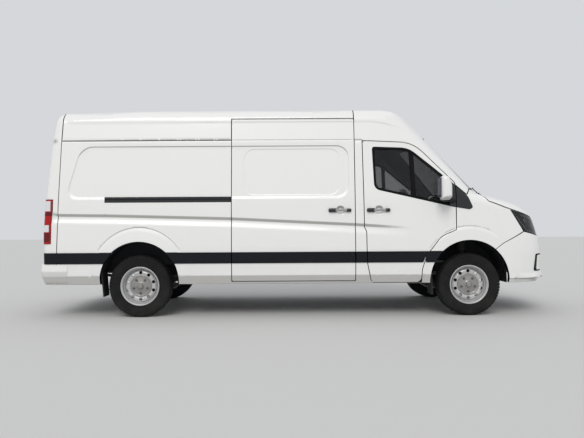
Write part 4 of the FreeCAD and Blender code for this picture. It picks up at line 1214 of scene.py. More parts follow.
@dataclass
class Skin:
    """The body form with the ways to lift outlines onto it, which all that lies in it is built with."""

    form: BodyForm
    dress: Dresser
    wall: float = 0.05
    roof_wall: float = 0.035
    roof_seam_x: float = 0.6185
    rear_lean: float = 0.0242
    rear_seam: tuple[float, float] = (-2.7615, 0.75)
    bumper_seam_x: float = 2.205
    high: float = 2.27

    @property
    def low(self) -> float:
        """Lower edge of the panels."""
        return self.form.sill + 0.004

    @property
    def arch_foot(self) -> float:
        """Angle round a wheel arch at which the panels' lower edge meets it, in degrees."""
        return math.degrees(math.asin((self.low - self.form.arch_z) / self.form.arch_radius))

    @property
    def arch_seam(self) -> float:
        """Angle round the front arch at which the seam between bumper and wing meets it, in degrees."""
        return math.degrees(math.acos((self.bumper_seam_x - self.form.front_axle) / self.form.arch_radius))

    def rear_seam_x(self, z: float) -> float:
        """Where the seam ahead of the rear frame is at a height."""
        x, foot = self.rear_seam
        return x + self.rear_lean * (z - foot)

    def side_lift(self, side: Side) -> Lift:
        """Pushes outlines in side view onto one side."""
        return Lift(self.form, (0, -side.value, 0), (1, 0, 0), (0, 0, 1))

    @property
    def rear_lift(self) -> Lift:
        """Pushes outlines seen from behind onto the back."""
        return Lift(self.form, (1, 0, 0), (0, 1, 0), (0, 0, 1))

    @property
    def rear_fan(self) -> Fan:
        """Pulls outlines round the rear corners onto the body."""
        return Fan(self.form, (1, 0, 0), (0, 1, 0), (0, 0, 1), through=(-2.2, 0, 1.3))

    @property
    def nose_fan(self) -> Fan:
        """Pulls outlines round the nose onto the body."""
        return Fan(self.form, (-1, 0, 0), (0, 1, 0), (0, 0, 1), through=(2.15, 0, 0.65))

    @property
    def front_lift(self) -> Lift:
        """Pushes outlines seen from ahead onto the front."""
        return Lift(self.form, (-1, 0, 0), (0, 1, 0), (0, 0, 1))

    @property
    def top_lift(self) -> Lift:
        """Pushes outlines seen from above onto the roof or bonnet."""
        return Lift(self.form, (0, 0, -1), (1, 0, 0), (0, 1, 0))

    def side_path(self, rows: Sequence[Row], side: Side = Side.RIGHT, step: float = 0.02) -> Array:
        """Points on the side along an open outline in side view."""
        return self.side_lift(side)(rounded_path(tuple(rows), closed=False, step=step))[0]

    def arch(self, axle: float, start: float, end: float) -> list[Row]:
        """Points round a wheel arch from one angle to another, measured from the front, in degrees."""
        turns = np.radians(np.linspace(start, end, 40))
        r = self.form.arch_radius
        return [(axle + r * math.cos(t), self.form.arch_z + r * math.sin(t), 0.0) for t in turns]

    def features(self) -> Array:
        """Flat points along the pressed lines of a side."""
        rows: list[tuple[float, float]] = []
        across_line = (0.023, 0.016, 0.009, 0.002, -0.006, -0.013, -0.02, -0.035, -0.055, -0.08, -0.107)
        across_flare = (0.026, 0.018, 0.010, 0.004, -0.004, -0.011, -0.017, -0.023, -0.06)
        for x in np.arange(-2.90, 1.50, 0.035):
            line = float(self.form.character(np.array(x)))
            rows += [(x, line + d) for d in across_line]
            rows += [(x, z) for z in (0.460, 0.467, 0.474, 0.481, 0.488)]
        for x in np.arange(-2.75, 0.60, 0.035):
            rows += self.roof_rows(x)
        for kind in (Recess.QUARTER, Recess.DOOR):
            rows += self.pressed(kind)
        for middle in self.form.bowls:
            for r in (0.012, 0.024, 0.031, 0.038, 0.045, 0.052, 0.058):
                rows += [tuple(p) for p in circle(middle, self.form.bowl_z, r, 24)]
        for axle in (self.form.front_axle, self.form.rear_axle):
            for x in np.arange(0.285, 0.575, 0.014):
                for z in (0.731, 0.734, 0.737, 0.740, 0.743):
                    rows += [(axle - x, z), (axle + x, z)]
            for t in np.radians(np.arange(2, 179, 3.5)):
                outer = self.form.flare_radius(math.sin(t))
                for r in (outer + d for d in across_flare):
                    rows.append((axle + r * math.cos(t), self.form.arch_z + r * math.sin(t)))
        return np.array(rows)

    @staticmethod
    def pressed(kind: Recess, sign: int = 1) -> list[tuple[float, float]]:
        """Points along the edge of a pressed panel."""
        _, edge, foot, lean, x0, x1, z0, z1, radius = kind.value
        loop = rounded_path(tuple(rectangle(x0, z0, x1, z1, radius)), closed=True, step=0.03)
        wide = edge + foot * (loop[:, 1] < z0 + 0.1)
        rows: list[tuple[float, float]] = []
        for share in (-0.05, 0.2, 0.4, 0.6, 0.8, 1.05):
            points = loop + (shift_loop(loop, 1.0) - loop) * (wide * share)[:, None]
            points[:, 0] += lean * (points[:, 1] - z0) * smooth_step((-1.6 - points[:, 0]) / 0.6)
            rows += [(sign * a, b) for a, b in points]
        return rows

    def roof_rows(self, x: float) -> list[tuple[float, float]]:
        """Points across the gutter and the roof's crease at x."""
        level, crease = self.form.gutter, float(self.form.crease(x))
        gutter = (-0.016, -0.010, -0.006, -0.003, 0.0, 0.003, 0.006, 0.010, 0.016, 0.04, 0.09)
        shoulder = (-0.06, -0.02, -0.006, 0.001, 0.007, 0.013, 0.019, 0.025, 0.032, 0.05)
        return [(x, level + d) for d in gutter] + [(x, crease + d) for d in shoulder]

    def roof_features(self, fan: Fan, first: float, last: float) -> Array:
        """Flat points of a roof panel along its creases."""
        rows = np.array([row for x in np.arange(first, last, 0.035) for row in self.roof_rows(x)])
        sides = [fan.flatten(self.side_lift(side)(rows)[0]) for side in Side]
        return np.concatenate(sides)

    def over_roof(self, foot: tuple[float, float], lean: float) -> Array:
        """Points of a seam over the roof, in one leaning plane, from the right side to the left.

        Args:
            foot: x and z of a point that the plane passes.
            lean: how far the plane goes forwards with each metre up.

        Returns:
            The points in order.
        """
        low, middle, reach = self.high, 1.5, 3.0
        start = self.side_lift(Side.RIGHT)(np.array([[foot[0] + lean * (low - foot[1]), low]]))[0][0]
        first = math.atan2(low - middle, -start[1])
        turns = np.linspace(math.pi - first, first, 90)
        out = np.stack([lean * np.sin(turns), np.cos(turns), np.sin(turns)], 1)
        centre = np.array([foot[0] + lean * (middle - foot[1]), 0.0, middle])
        return self.form.along(centre + out * reach, -out, reach)

    def add(self, name: str, panel: Panel, lift: LiftCall, body: str, nodes: Sequence[str],
            finish: Finish = PAINT, slot: str = "paint") -> bpy.types.Object:
        """Builds one panel, lets it ride on its body and stand for its nodes."""
        piece = panel.build(name, lift, self.dress(finish))
        return settle(piece, body, slot, nodes)


class Panels(Skin):
    """The painted skin: fixed panels, doors, bonnet and the front doors' panes."""

    def build(self) -> None:
        """Builds every panel."""
        for side in Side:
            self.side_panel(side)
            self.front_door(side)
            self.fender(side)
        self.sliding_door()
        self.roofs()
        self.rear()
        self.bonnet()

    def side_panel(self, side: Side) -> None:
        """Fixed side: the rear quarter, the sill and the pillar behind the front door."""
        low, rear, top = self.low, self.rear_seam_x, self.form.gutter + 0.0015
        back, foot = self.rear_seam
        rows: list[Row] = [(back, low, 0)]
        rows += self.arch(self.form.rear_axle, 180 - self.arch_foot, self.arch_foot)
        rows += [(1.369, low, 0), (1.369, 0.3785, 0), (0.798, 0.3785, 0.06), (0.749, 0.62, 0.20),
                 (0.745, 0.963, 0.03), (0.721, 1.018, 0.03), (0.7085, 2.006, 0), (0.7085, top, 0)]
        if side is Side.RIGHT:
            rows += [(0.6185, top, 0), (0.6185, 0.4035, 0), (-0.7865, 0.4035, 0), (-0.7865, top, 0)]
        rows += [(rear(top), top, 0), (back, foot, 0)]
        panel = Panel(rows, thickness=self.wall, spacing=0.06, features=self.features())
        self.add(f"side_skin_{side.word}", panel, self.side_lift(side), "root", [f"side_{side.word}"])

    def front_door(self, side: Side) -> None:
        """Front door with its window opening, and its pane."""
        panel = Panel(BodyLines.front_door, [BodyLines.cab_window], thickness=self.wall, spacing=0.05,
                      features=self.features())
        body = f"front_door_{side.word}"
        self.add(f"front_door_skin_{side.word}", panel, self.side_lift(side), body, [body])
        pane = Panel(BodyLines.cab_window, thickness=0.005, gap=-0.004, edge=0.001, sink=0.014, spacing=0.08)
        piece = self.add(f"front_pane_{side.word}", pane, self.side_lift(side), body,
                         [f"front_glass_{side.word}"], slot="glass")
        piece.data.materials[0] = self.dress.made["door_glass"]

    def sliding_door(self) -> None:
        """Sliding door on the right, up to the roof's shoulder."""
        panel = Panel(BodyLines.sliding_door, thickness=self.wall, spacing=0.06, features=self.features())
        self.add("sliding_door_skin", panel, self.side_lift(Side.RIGHT), "root", ["sliding_door"])

    def fender(self, side: Side) -> None:
        """Front wing from the door to the lamp, with its wheel arch."""
        door = [(1.7655, 1.484, 0), (1.763, 0.976, 0.02), (1.592, 0.903, 0.22), (1.423, 0.688, 0.25),
                (1.369, 0.52, 0.30), (1.369, self.low, 0)]
        rows = door + self.arch(self.form.front_axle, 180 - self.arch_foot, self.arch_seam)
        rows += [(2.232, 0.772, 0), (2.300, 0.822, 0), (2.5545, 0.953, 0), (2.388, 1.208, 0),
                 (2.328, 1.226, 0), (2.135, 1.300, 0), (2.093, 1.368, 0), (2.060, 1.430, 0),
                 (1.952, 1.444, 0), (1.895, 1.377, 0)]
        panel = Panel(rows, thickness=self.wall, spacing=0.04, features=self.features())
        self.add(f"fender_skin_{side.word}", panel, self.side_lift(side), "root", [f"fender_{side.word}"])

    def roofs(self) -> None:
        """Roof behind the seam, and the roof front with the windscreen pillars."""
        rear_fan = Fan(self.form, (0, 0, -1), (1, 0, 0), (0, 1, 0), through=(-1.05, 0, 0.4))
        rear, front, gutter = self.rear_seam_x, self.roof_seam_x, self.form.gutter - 0.0025
        high = self.high
        along = self.side_path([(rear(gutter), gutter, 0), (rear(high), high, 0)], step=0.03)
        back = np.concatenate([along, self.over_roof(self.rear_seam, self.rear_lean), mirrored(along)])
        left = self.side_path([(rear(gutter), gutter, 0), (front, gutter, 0), (front, high, 0)],
                              Side.LEFT, step=0.03)
        seam = self.over_roof((front, 0.0), 0.0)[::-1]
        door = self.side_path([(front, 2.2635, 0), (-0.7895, 2.2635, 0), (-0.7895, gutter, 0),
                               (rear(gutter), gutter, 0)], step=0.03)
        loop = without_repeats(np.concatenate([back, left, seam, door]))
        panel = Panel(rear_fan.flatten(loop), thickness=self.roof_wall, spacing=0.05, gap=0.0008, edge=0.001,
                      features=self.roof_features(rear_fan, -2.70, 0.61))
        self.add("roof_rear_skin", panel, rear_fan, "root", ["roof_rear"])

        fan = Fan(self.form, (0, 0, -1), (1, 0, 0), (0, 1, 0), through=(1.15, 0, 1.15))
        rows = ((1.895, 1.383, 0), (1.7655, 1.490, 0), (1.7625, 1.515, 0.03), (1.2915, 1.9765, 0.40),
                (0.7085, 2.0045, 0), (0.7085, gutter, 0), (front, gutter, 0), (front, high, 0))
        right = self.side_path(rows)
        over = self.over_roof((front, 0.0), 0.0)
        frame = rounded_path(BodyLines.screen_half, closed=False)
        screen = self.front_lift(frame)[0]
        foot = self.side_path([(2.058, 1.464, 0), (1.950, 1.450, 0), (1.895, 1.383, 0)])
        half = np.concatenate([foot, right, over[:45]])
        loop = np.concatenate([half, mirrored(half), screen, mirrored(screen)])
        panel = Panel(fan.flatten(without_repeats(loop)), thickness=self.roof_wall, spacing=0.04, gap=0.0014,
                      edge=0.0015, features=self.roof_features(fan, 0.64, 1.30))
        self.add("roof_front_skin", panel, fan, "root", ["roof_front"])

    def rear(self) -> None:
        """Rear frame round the doorway, and the two rear doors."""
        fan = self.rear_fan
        low, (back, foot) = self.low, self.rear_seam
        seam = self.side_path(((back, low, 0), (back, foot, 0), (self.rear_seam_x(self.high), self.high, 0)),
                              step=0.03)
        across = self.over_roof(self.rear_seam, self.rear_lean)
        bottom = self.rear_lift(np.array([(y, low) for y in np.linspace(0.93, -0.93, 50)]))[0]
        outline = np.concatenate([seam, across, mirrored(seam), bottom])
        doorway = self.rear_lift(rounded_path(tuple(BodyLines.doorway), closed=True))[0]
        panel = Panel(fan.flatten(without_repeats(outline)), [fan.flatten(doorway)], thickness=self.wall,
                      spacing=0.04, gap=0.0015, edge=0.0015)
        self.add("rear_frame_skin", panel, fan, "root", ["rear_frame"])
        for side in Side:
            sign = side.value
            edge = [*BodyLines.doorway[:4], (0.0015, 2.299, 0.01), (0.0015, 0.623, 0.01)]
            rows = on_side(edge, sign)
            kinds = [Recess.BACK_UPPER, Recess.BACK_LOWER] + ([Recess.PLATE] if side is Side.LEFT else [])
            features = np.array([row for kind in kinds for row in self.pressed(kind, sign)])
            panel = Panel(rows, thickness=self.wall, spacing=0.05, features=features)
            body = f"rear_door_{side.word}"
            self.add(f"rear_door_skin_{side.word}", panel, self.rear_lift, body, [body])

    def bonnet(self) -> None:
        """Bonnet, from the scuttle to the top of the grille."""
        lift = Lift(self.form, (-0.6, 0, -0.8), (0.8, 0, -0.6), (0, 1, 0), through=(1.6, 0, 1.0))
        side = self.side_path(BodyLines.bonnet_side)
        nose = self.front_lift(np.array([(y, 1.065) for y in np.linspace(-0.76, 0.76, 50)]))[0]
        nose = nose[np.abs(nose[:, 1]) < abs(side[-1, 1]) - 0.01]
        turns = np.linspace(0.69, -0.69, 30)
        back = self.top_lift(np.array([(2.250 - 0.124 * (y / 0.69) ** 2, y) for y in turns]))[0]
        loop = np.concatenate([side, nose, mirrored(side), back])
        panel = Panel(lift.flatten(without_repeats(loop)), thickness=0.011, spacing=0.04)
        self.add("bonnet_skin", panel, lift, "bonnet", ["bonnet"])


class Bumpers(Skin):
    """Both bumpers, and the grille that sits on the front one."""

    def build(self) -> None:
        """Builds the bumpers and the grille."""
        self.front_bumper()
        self.rear_bumper()
        self.grille()

    def front_part(self, name: str, rows: Sequence[Row], thickness: float, sink: float, finish: Finish,
                   spacing: float, holes: Sequence[Sequence[Row]] = (), edge: float = 0.0025,
                   nodes: Sequence[str] = (), slot: str = "bumper_plastic") -> None:
        """A plate in the nose, from an outline seen from ahead, with its face sink below the form."""
        panel = Panel(rows, holes, thickness=thickness, sink=sink, gap=0.0, edge=edge, spacing=spacing)
        self.add(name, panel, self.front_lift, "root", nodes, finish, slot)

    def front_bumper(self) -> None:
        """Front bumper between the wheel arches, with its lip, air slot and fog lamp pockets."""
        fan, low = self.nose_fan, self.low
        rows = self.arch(self.form.front_axle, self.arch_foot, self.arch_seam)
        rows += [(2.232, 0.772, 0), (2.300, 0.822, 0), (2.557, 0.950, 0), (2.872, 0.880, 0)]
        side = self.side_path(rows)
        edge = [(y, 0.876, 0) for y in np.linspace(side[-1, 1] + 0.015, -0.500, 4)]
        top = rounded_path((*edge, (-0.484, 0.874, 0), (-0.480, 0.862, 0), (0.0, 0.862, 0)), closed=False)
        top = self.front_lift(top)[0]
        half = np.concatenate([side, top])
        front = self.front_lift(np.array([(y, low) for y in np.linspace(0.74, -0.74, 50)]))[0]
        flank = self.side_path([(front[-1, 0] - 0.02, low, 0), (float(side[0, 0]) + 0.01, low, 0)])
        outline = np.concatenate([half, mirrored(half), mirrored(flank), front, flank])
        holes = [self.front_lift(rounded_path(NoseLines.slot, closed=True))[0]]
        for sign in (-1, 1):
            pocket = rounded_path(tuple(on_side(NoseLines.pocket, sign)), closed=True)
            holes.append(self.front_lift(pocket)[0])
        levels = (0.404, 0.410, 0.414, 0.418, 0.422, 0.428, 0.436, 0.448, 0.462, 0.474, 0.482)
        across = np.linspace(-0.74, 0.74, 60)
        features = [self.front_lift(np.array([(y, z) for y in across]))[0] for z in levels]
        for side in Side:
            rows = np.array([(x, z) for z in levels for x in np.arange(2.38, 2.72, 0.04)])
            features.append(self.side_lift(side)(rows)[0])
        panel = Panel(fan.flatten(without_repeats(outline)), [fan.flatten(hole) for hole in holes],
                      thickness=0.035, spacing=0.05, gap=0.0015, edge=0.002,
                      features=fan.flatten(np.concatenate(features)))
        self.add("front_bumper_skin", panel, fan, "root", ["front_bumper"])
        self.front_part("lower_grille_back", NoseLines.slot_back, 0.006, 0.055, RUBBER, 0.09)
        for number, z in enumerate((0.502, 0.522, 0.542)):
            self.front_part(f"lower_grille_bar_{number}", rectangle(-0.43, z, 0.43, z + 0.006), 0.018, 0.012,
                            PLASTIC, 0.09, edge=0.001)
        for side in Side:
            word, sign = side.word, side.value
            self.front_part(f"fog_pocket_{word}", on_side(NoseLines.pocket_back, sign), 0.006, 0.034,
                            PLASTIC, 0.09)
            self.front_part(f"fog_blade_{word}", on_side(NoseLines.blade, sign), 0.045, -0.004, PAINT, 0.05,
                            slot="paint")
            self.front_part(f"fog_lamp_{word}", on_side(NoseLines.fog_lamp, sign), 0.02, 0.018,
                            LAMP_WHITE, 0.05)

    def grille(self) -> None:
        """Upper grille between the headlamps: a dark back, a frame and five bars."""
        rows = rectangle(-0.484, 0.866, 0.484, 1.058, 0.01)
        hole = rectangle(-0.462, 0.884, 0.462, 1.040, 0.008)
        self.front_part("grille_back", rows, 0.006, 0.040, RUBBER, 0.08, nodes=["grille"])
        self.front_part("grille_frame", rows, 0.04, 0.002, BLACK, 0.08, [hole], nodes=["grille"])
        for number, z in enumerate((0.902, 0.932, 0.962, 0.992, 1.022)):
            bar = rectangle(-0.466, z - 0.008, 0.466, z + 0.008)
            self.front_part(f"grille_bar_{number}", bar, 0.028, 0.006, BLACK, 0.08, edge=0.003,
                            nodes=["grille"])

    def rear_bumper(self) -> None:
        """Rear bumper with its rounded corners and the step in the middle."""
        half = rounded_path(((-2.645, -0.990, 0), (-2.962, -0.990, 0.10), (-2.962, -0.560, 0.03),
                             (-2.985, -0.520, 0.03), (-2.985, 0.0, 0)), closed=False, step=0.03)
        path = np.concatenate([half[:-1], half[::-1] * np.array([1, -1])])
        ahead = np.gradient(path, axis=0)
        ahead /= np.linalg.norm(ahead, axis=1, keepdims=True)
        out = np.stack([-ahead[:, 1], ahead[:, 0]], 1)
        profile = rounded_path(((-0.045, 0.395, 0), (-0.028, 0.390, 0.004), (0.0, 0.470, 0.006),
                                (0.012, 0.530, 0.04), (0.004, 0.606, 0.012), (-0.045, 0.610, 0)),
                               closed=True, step=0.02)
        loops = [np.column_stack([spot + normal * profile[:, :1], profile[:, 1]])
                 for spot, normal in zip(path, out)]
        bumper = Shape.loft(loops).build("rear_bumper_skin", self.dress(PAINT))
        tread = Shape.block((0.085, 1.00, 0.012), 0.004).moved((-2.928, 0, 0.614))
        for k in range(9):
            tread += Shape.block((0.004, 0.96, 0.006), 0.001, 1).moved((-2.962 + 0.0085 * k, 0, 0.621))
        step = tread.build("rear_step_tread", self.dress(PLASTIC))
        settle(bumper, "root", "paint", ["rear_bumper"])
        settle(step, "root", "bumper_plastic", ["rear_bumper"])


class Lamps(Skin):
    """Headlamps and tail lamps."""

    def build(self) -> None:
        """Builds the lamps of both sides."""
        for side in Side:
            self.headlamp(side)
            self.tail_lamp(side)

    def headlamp(self, side: Side) -> None:
        """Headlamp: dark housing, two projectors, a light guide and a clear cover."""
        lift = self.side_lift(side)
        housing = Panel(BodyLines.headlamp, thickness=0.010, gap=0.003, sink=0.055, spacing=0.05)
        self.add(f"headlamp_housing_{side.word}", housing, lift, "root", ["headlamps"], BLACK, "lamp_clear")
        for name, rows, finish, sink, depth in (
            ("guide", LampLines.guide, LAMP_WHITE, 0.020, 0.030),
            ("shelf", LampLines.shelf, REFLECTOR, 0.030, 0.020),
            ("mask", LampLines.mask, RUBBER, 0.006, 0.040),
        ):
            panel = Panel(rows, thickness=depth, gap=0.0, edge=0.0015, sink=sink, spacing=0.04)
            self.add(f"headlamp_{name}_{side.word}", panel, lift, "root", ["headlamps"], finish,
                     "lamp_clear")
        bowl = Shape.turned(((0.0, 0.016, 0), (0.020, 0.010, 0.01), (0.026, 0.0, 0.003),
                             (0.030, 0.010, 0.003), (0.036, 0.010, 0.003), (0.036, -0.030, 0.003),
                             (0.0, -0.030, 0)), -1, 40)
        bowls = Shape(np.zeros((0, 3)), [])
        for x, z in LampLines.bowls:
            place = self.side_lift(Side.RIGHT)(np.array([[x, z]]), 0.048)[0][0]
            bowls += bowl.tilted(2, 52).moved(place)
        piece = bowls.on(side).build(f"headlamp_bowls_{side.word}", self.dress(REFLECTOR))
        settle(piece, "root", "lamp_clear", ["headlamps"])
        cover = Panel(BodyLines.headlamp, thickness=0.004, gap=0.0015, edge=0.0012, sink=0.001, spacing=0.04)
        piece = self.add(f"headlamp_cover_{side.word}", cover, lift, "root", ["headlamps"],
                         slot="lamp_clear")
        piece.data.materials[0] = self.dress.made["lamp_cover"]

    def level(self, first: Array, last: Array) -> Array:
        """Points on the form between two points of the same height, round the rear corner."""
        spots = first + (last - first) * np.linspace(0, 1, 10)[1:-1, None]
        centre = np.column_stack([np.full(len(spots), -2.2), np.zeros(len(spots)), spots[:, 2]])
        out = (spots - centre) / np.linalg.norm(spots - centre, axis=1, keepdims=True)
        return self.form.along(centre + 2.0 * out, -out, 2.0)

    def tail_lamp(self, side: Side) -> None:
        """Tail lamp round the rear corner: a red lens with darker and clear parts."""
        fan, sign = self.rear_fan, side.value
        for number, (z0, z1, margin, proud, finish) in enumerate(LampLines.tail):
            edge = np.array([(LampLines.tail_front(z) - margin, z) for z in np.linspace(z0, z1, 9)])
            front = self.side_lift(side)(edge)[0]
            edge = np.array([(sign * (0.900 + margin), z) for z in np.linspace(z1, z0, 9)])
            back = self.rear_lift(edge)[0]
            top, low = self.level(front[-1], back[0]), self.level(back[-1], front[0])
            loop = fan.flatten(np.concatenate([front, top, back, low]))
            panel = Panel(loop, thickness=0.012 + proud, gap=0.0, edge=0.0008, sink=-proud, spacing=0.02)
            self.add(f"tail_lamp_{number}_{side.word}", panel, fan, "root", ["tail_lamps"], finish,
                     "lamp_clear" if finish is LAMP_WHITE else "lamp_red")


class TrimLines:
    """Outlines of the trim in side view, with a corner radius at each corner."""

    divider: Sequence[Row] = ((1.236, 1.935, 0), (1.289, 1.935, 0), (1.316, 1.290, 0), (1.268, 1.300, 0))
    door_triangle: Sequence[Row] = (
        (1.690, 1.545, 0), (1.7605, 1.4880, 0), (1.7605, 1.2315, 0), (1.690, 1.2435, 0),
    )
    wing_triangle: Sequence[Row] = (
        (1.7660, 1.4800, 0.002), (1.8250, 1.4350, 0.2), (1.8930, 1.3720, 0.2), (1.9560, 1.2260, 0.022),
        (1.9150, 1.2060, 0.03), (1.7660, 1.2310, 0.002),
    )
    mirror_head: Sequence[Row] = (
        (1.5560, 1.5750, 0.030), (1.6400, 1.5750, 0.055), (1.6760, 1.4700, 0.12), (1.6760, 1.3350, 0.05),
        (1.6450, 1.3060, 0.03), (1.5620, 1.3060, 0.02),
    )


@dataclass
class Trim:
    """Rubbing strips, rail, window frames, mirrors and handles."""

    skin: Skin
    dress: Dresser
    proud: float = 0.009
    strip_low: float = 0.610
    strip_high: float = 0.736
    handle_height: float = 1.2035

    def plate(self, name: str, rows: Sequence[Row] | Array, side: Side, body: str, nodes: Sequence[str],
              finish: Finish, sink: float, depth: float, holes: Sequence[Array] = (), edge: float = 0.002,
              gap: float = 0.0, step: float = 0.03, spacing: float = 0.09, flat: bool = False) -> None:
        """A thin plate on a side, its face sink below the form, or below the plain side if flat."""
        features = self.skin.features() if spacing < 0.05 else None
        panel = Panel(rows, holes, thickness=depth, gap=gap, edge=edge, spacing=spacing, sink=sink,
                      step=step, features=features)
        lift = self.skin.side_lift(side)
        if flat:
            lift = Lift(PlainForm(), lift.direction, lift.across, lift.up)
        self.skin.add(name, panel, lift, body, nodes, finish, "bumper_plastic")

    def build(self) -> None:
        """Builds all the trim."""
        self.strips()
        self.rail()
        for side in Side:
            self.window(side)
            self.mirror(side)
            self.handle(f"front_door_{side.word}", 0.748, 1.014, side, f"front_door_{side.word}",
                        [f"front_door_trim_{side.word}"])
        self.handle("sliding_door", 0.313, 0.573, Side.RIGHT, "root", ["sliding_door_trim"])

    def strip_rows(self, x0: float, x1: float) -> list[Row]:
        """Outline of a rubbing strip from x0 to x1, cut off where a wheel arch begins."""
        form = self.skin.form
        rows: list[Row] = []
        for z, forward in ((self.strip_low, True), (self.strip_high, False)):
            half = math.sqrt(form.arch_radius ** 2 - (z - form.arch_z) ** 2)
            ends = [x0, x1]
            for axle in (form.front_axle, form.rear_axle):
                if axle - half < x1 < axle:
                    ends[1] = axle - half
                if axle < x0 < axle + half:
                    ends[0] = axle + half
            rows += [(x, z, 0.0) for x in (ends if forward else ends[::-1])]
        return rows

    def strips(self) -> None:
        """Rubbing strips on the sides, the doors and the wings."""
        spans = [("rear", -2.909, -1.95, 0), ("middle", -1.70, -0.790, -1), ("middle", -1.70, 0.7455, 1),
                 ("pillar", 0.622, 0.7455, -1), ("wing", 1.411, 1.60, 0)]
        depth = self.proud + 0.002
        for part, x0, x1, only in spans:
            for side in Side:
                if only in (0, side.value):
                    self.plate(f"strip_{part}_{side.word}", self.strip_rows(x0, x1), side, "root",
                               ["side_strips"], STRIP, -self.proud, depth, flat=True)
        self.plate("strip_sliding_door", self.strip_rows(-0.782, 0.614), Side.RIGHT, "root",
                   ["sliding_door_trim"], STRIP, -self.proud, depth, flat=True)
        for side in Side:
            body = f"front_door_{side.word}"
            rows = [(0.752, self.strip_low, 0), (1.382, self.strip_low, 0), (1.4335, self.strip_high, 0),
                    (0.751, self.strip_high, 0)]
            self.plate(f"strip_door_{side.word}", rows, side, body, [f"front_door_trim_{side.word}"], STRIP,
                       -self.proud, depth, flat=True)

    def rail(self) -> None:
        """The sliding door's outer rail, in its slot on the right."""
        cover = rectangle(-2.225, 1.303, -0.790, 1.367, 0.004)
        lip = rectangle(-2.222, 1.334, -0.792, 1.343, 0.004)
        self.plate("slide_rail_cover", cover, Side.RIGHT, "root", ["slide_rail"], BLACK, -0.002, 0.016,
                   flat=True)
        self.plate("slide_rail_lip", lip, Side.RIGHT, "root", ["slide_rail"], STRIP, -0.006, 0.006,
                   edge=0.001, flat=True)

    def window(self, side: Side) -> None:
        """Black frame, divider bar and corner trim of a front window."""
        word, body = side.word, f"front_door_{side.word}"
        outline = turning_left(rounded_path(tuple(BodyLines.cab_window), closed=True, step=0.03))
        hole = shift_loop(outline, 0.021)
        self.plate(f"window_frame_{word}", outline, side, body, [], RUBBER, 0.003, 0.012, [hole], gap=-0.003)
        self.plate(f"window_divider_{word}", TrimLines.divider, side, body, [], RUBBER, 0.0085, 0.010)
        self.plate(f"mirror_plate_{word}", TrimLines.door_triangle, side, body, [f"mirror_{word}"], BLACK,
                   -0.005, 0.021, spacing=0.03, step=0.012)
        self.plate(f"pillar_trim_{word}", TrimLines.wing_triangle, side, "root", ["pillar_trims"], BLACK,
                   -0.005, 0.007, spacing=0.03, step=0.012)

    def mirror(self, side: Side) -> None:
        """Door mirror: painted head, glass, and a black foot."""
        body, node = f"front_door_{side.word}", [f"mirror_{side.word}"]
        outline = turning_left(rounded_path(tuple(TrimLines.mirror_head), closed=True, step=0.012))
        inner, outer, edge = -1.018, -1.240, 0.050
        middle = (outline.min(0) + outline.max(0)) / 2
        half = (outline.max(0) - outline.min(0)) / 2
        loops = []
        for k in range(19):
            y = inner + (outer - inner) * (1 - math.cos(math.pi * k / 18)) / 2
            near = min(y - outer, inner - y)
            loop = middle + (outline - middle) * (1 - min(drawn_in(edge, near), 0.045) / half)
            lean = 0.10 * (y - inner)
            loops.append(np.stack([loop[:, 0] + lean, np.full(len(loop), y), loop[:, 1]], 1))
        head = Shape.loft(loops)
        glass = Shape.block((0.006, 0.165, 0.215), 0.003).moved((1.5390, -1.132, 1.445))
        foot = Shape.tube([(1.735, -0.975, 1.300), (1.715, -1.000, 1.302), (1.680, -1.045, 1.318),
                           (1.640, -1.085, 1.345)], 0.026)
        foot += Shape.block((0.085, 0.10, 0.030), 0.012).moved((1.635, -1.075, 1.306))
        parts = (("head", head, PAINT), ("glass", glass, REFLECTOR), ("foot", foot, PLASTIC))
        for part, shape, finish in parts:
            piece = shape.on(side).build(f"mirror_{part}_{side.word}", self.dress(finish))
            settle(piece, body, "mirror_housing", node)

    def handle(self, name: str, x0: float, x1: float, side: Side, body: str, nodes: Sequence[str]) -> None:
        """Pull handle over its round recess: a bar painted grey as a painted reflection on the black handle,
        between two black ends.
        """
        z, outer = self.handle_height, float(self.skin.form.section(np.array(self.handle_height)))
        ends = Shape.block((0.094, 0.034, 0.046), 0.0165, 5).moved((x0 + 0.047, -outer - 0.012, z))
        ends += Shape.block((0.064, 0.034, 0.040), 0.0165, 5).moved((x1 - 0.032, -outer - 0.012, z))
        # The bar is painted grey: a painted reflection along the middle of the black handle.
        bar = Shape.block((x1 - x0 - 0.11, 0.018, 0.024), 0.008, 3)
        bar = bar.moved(((x0 + x1) / 2 + 0.010, -outer - 0.020, z))
        for part, shape, finish in (("ends", ends, BLACK), ("bar", bar, HANDLE_PAINTED_SHEEN)):
            piece = shape.on(side).build(f"handle_{part}_{name}", self.dress(finish))
            settle(piece, body, "bumper_plastic", nodes)


@dataclass(frozen=True)
class WheelSizes:
    """Sizes of a wheel, in metres."""

    axle_height: float = 0.352
    half_track: float = 0.850
    tyre_radius: float = 0.352
    tread_base: float = 0.3445
    blocks: int = 62
    block_radius: float = 0.3438
    block_offset: float = 0.0835
    holes: int = 10
    hole_circle: float = 0.152
    hole_radius: float = 0.0165
    nuts: int = 5
    nut_circle: float = 0.082


@dataclass(frozen=True)
class HubFace:
    """Lifts flat points of a wheel's face, as seen from its side, onto a turned surface."""

    centre: tuple[float, float, float]
    sign: int
    profile: Curve

    def __call__(self, uv: Array, sink: float = 0.0) -> tuple[Array, Array, Array]:
        """Points, outward normals and inward directions."""
        radius = np.maximum(np.linalg.norm(uv, axis=1), 1e-6)
        slope = (self.profile(radius + 0.0005) - self.profile(radius - 0.0005)) / 0.001
        flat = self.sign * np.ones(len(uv))
        out = np.stack([-slope * uv[:, 0] / radius, flat, -slope * uv[:, 1] / radius], 1)
        out /= np.linalg.norm(out, axis=1, keepdims=True)
        points = np.stack([uv[:, 0], self.sign * (self.profile(radius) - sink), uv[:, 1]], 1)
        points = points + np.array(self.centre)
        inward = np.broadcast_to(np.array([0.0, -self.sign, 0.0]), points.shape)
        return points, out, inward


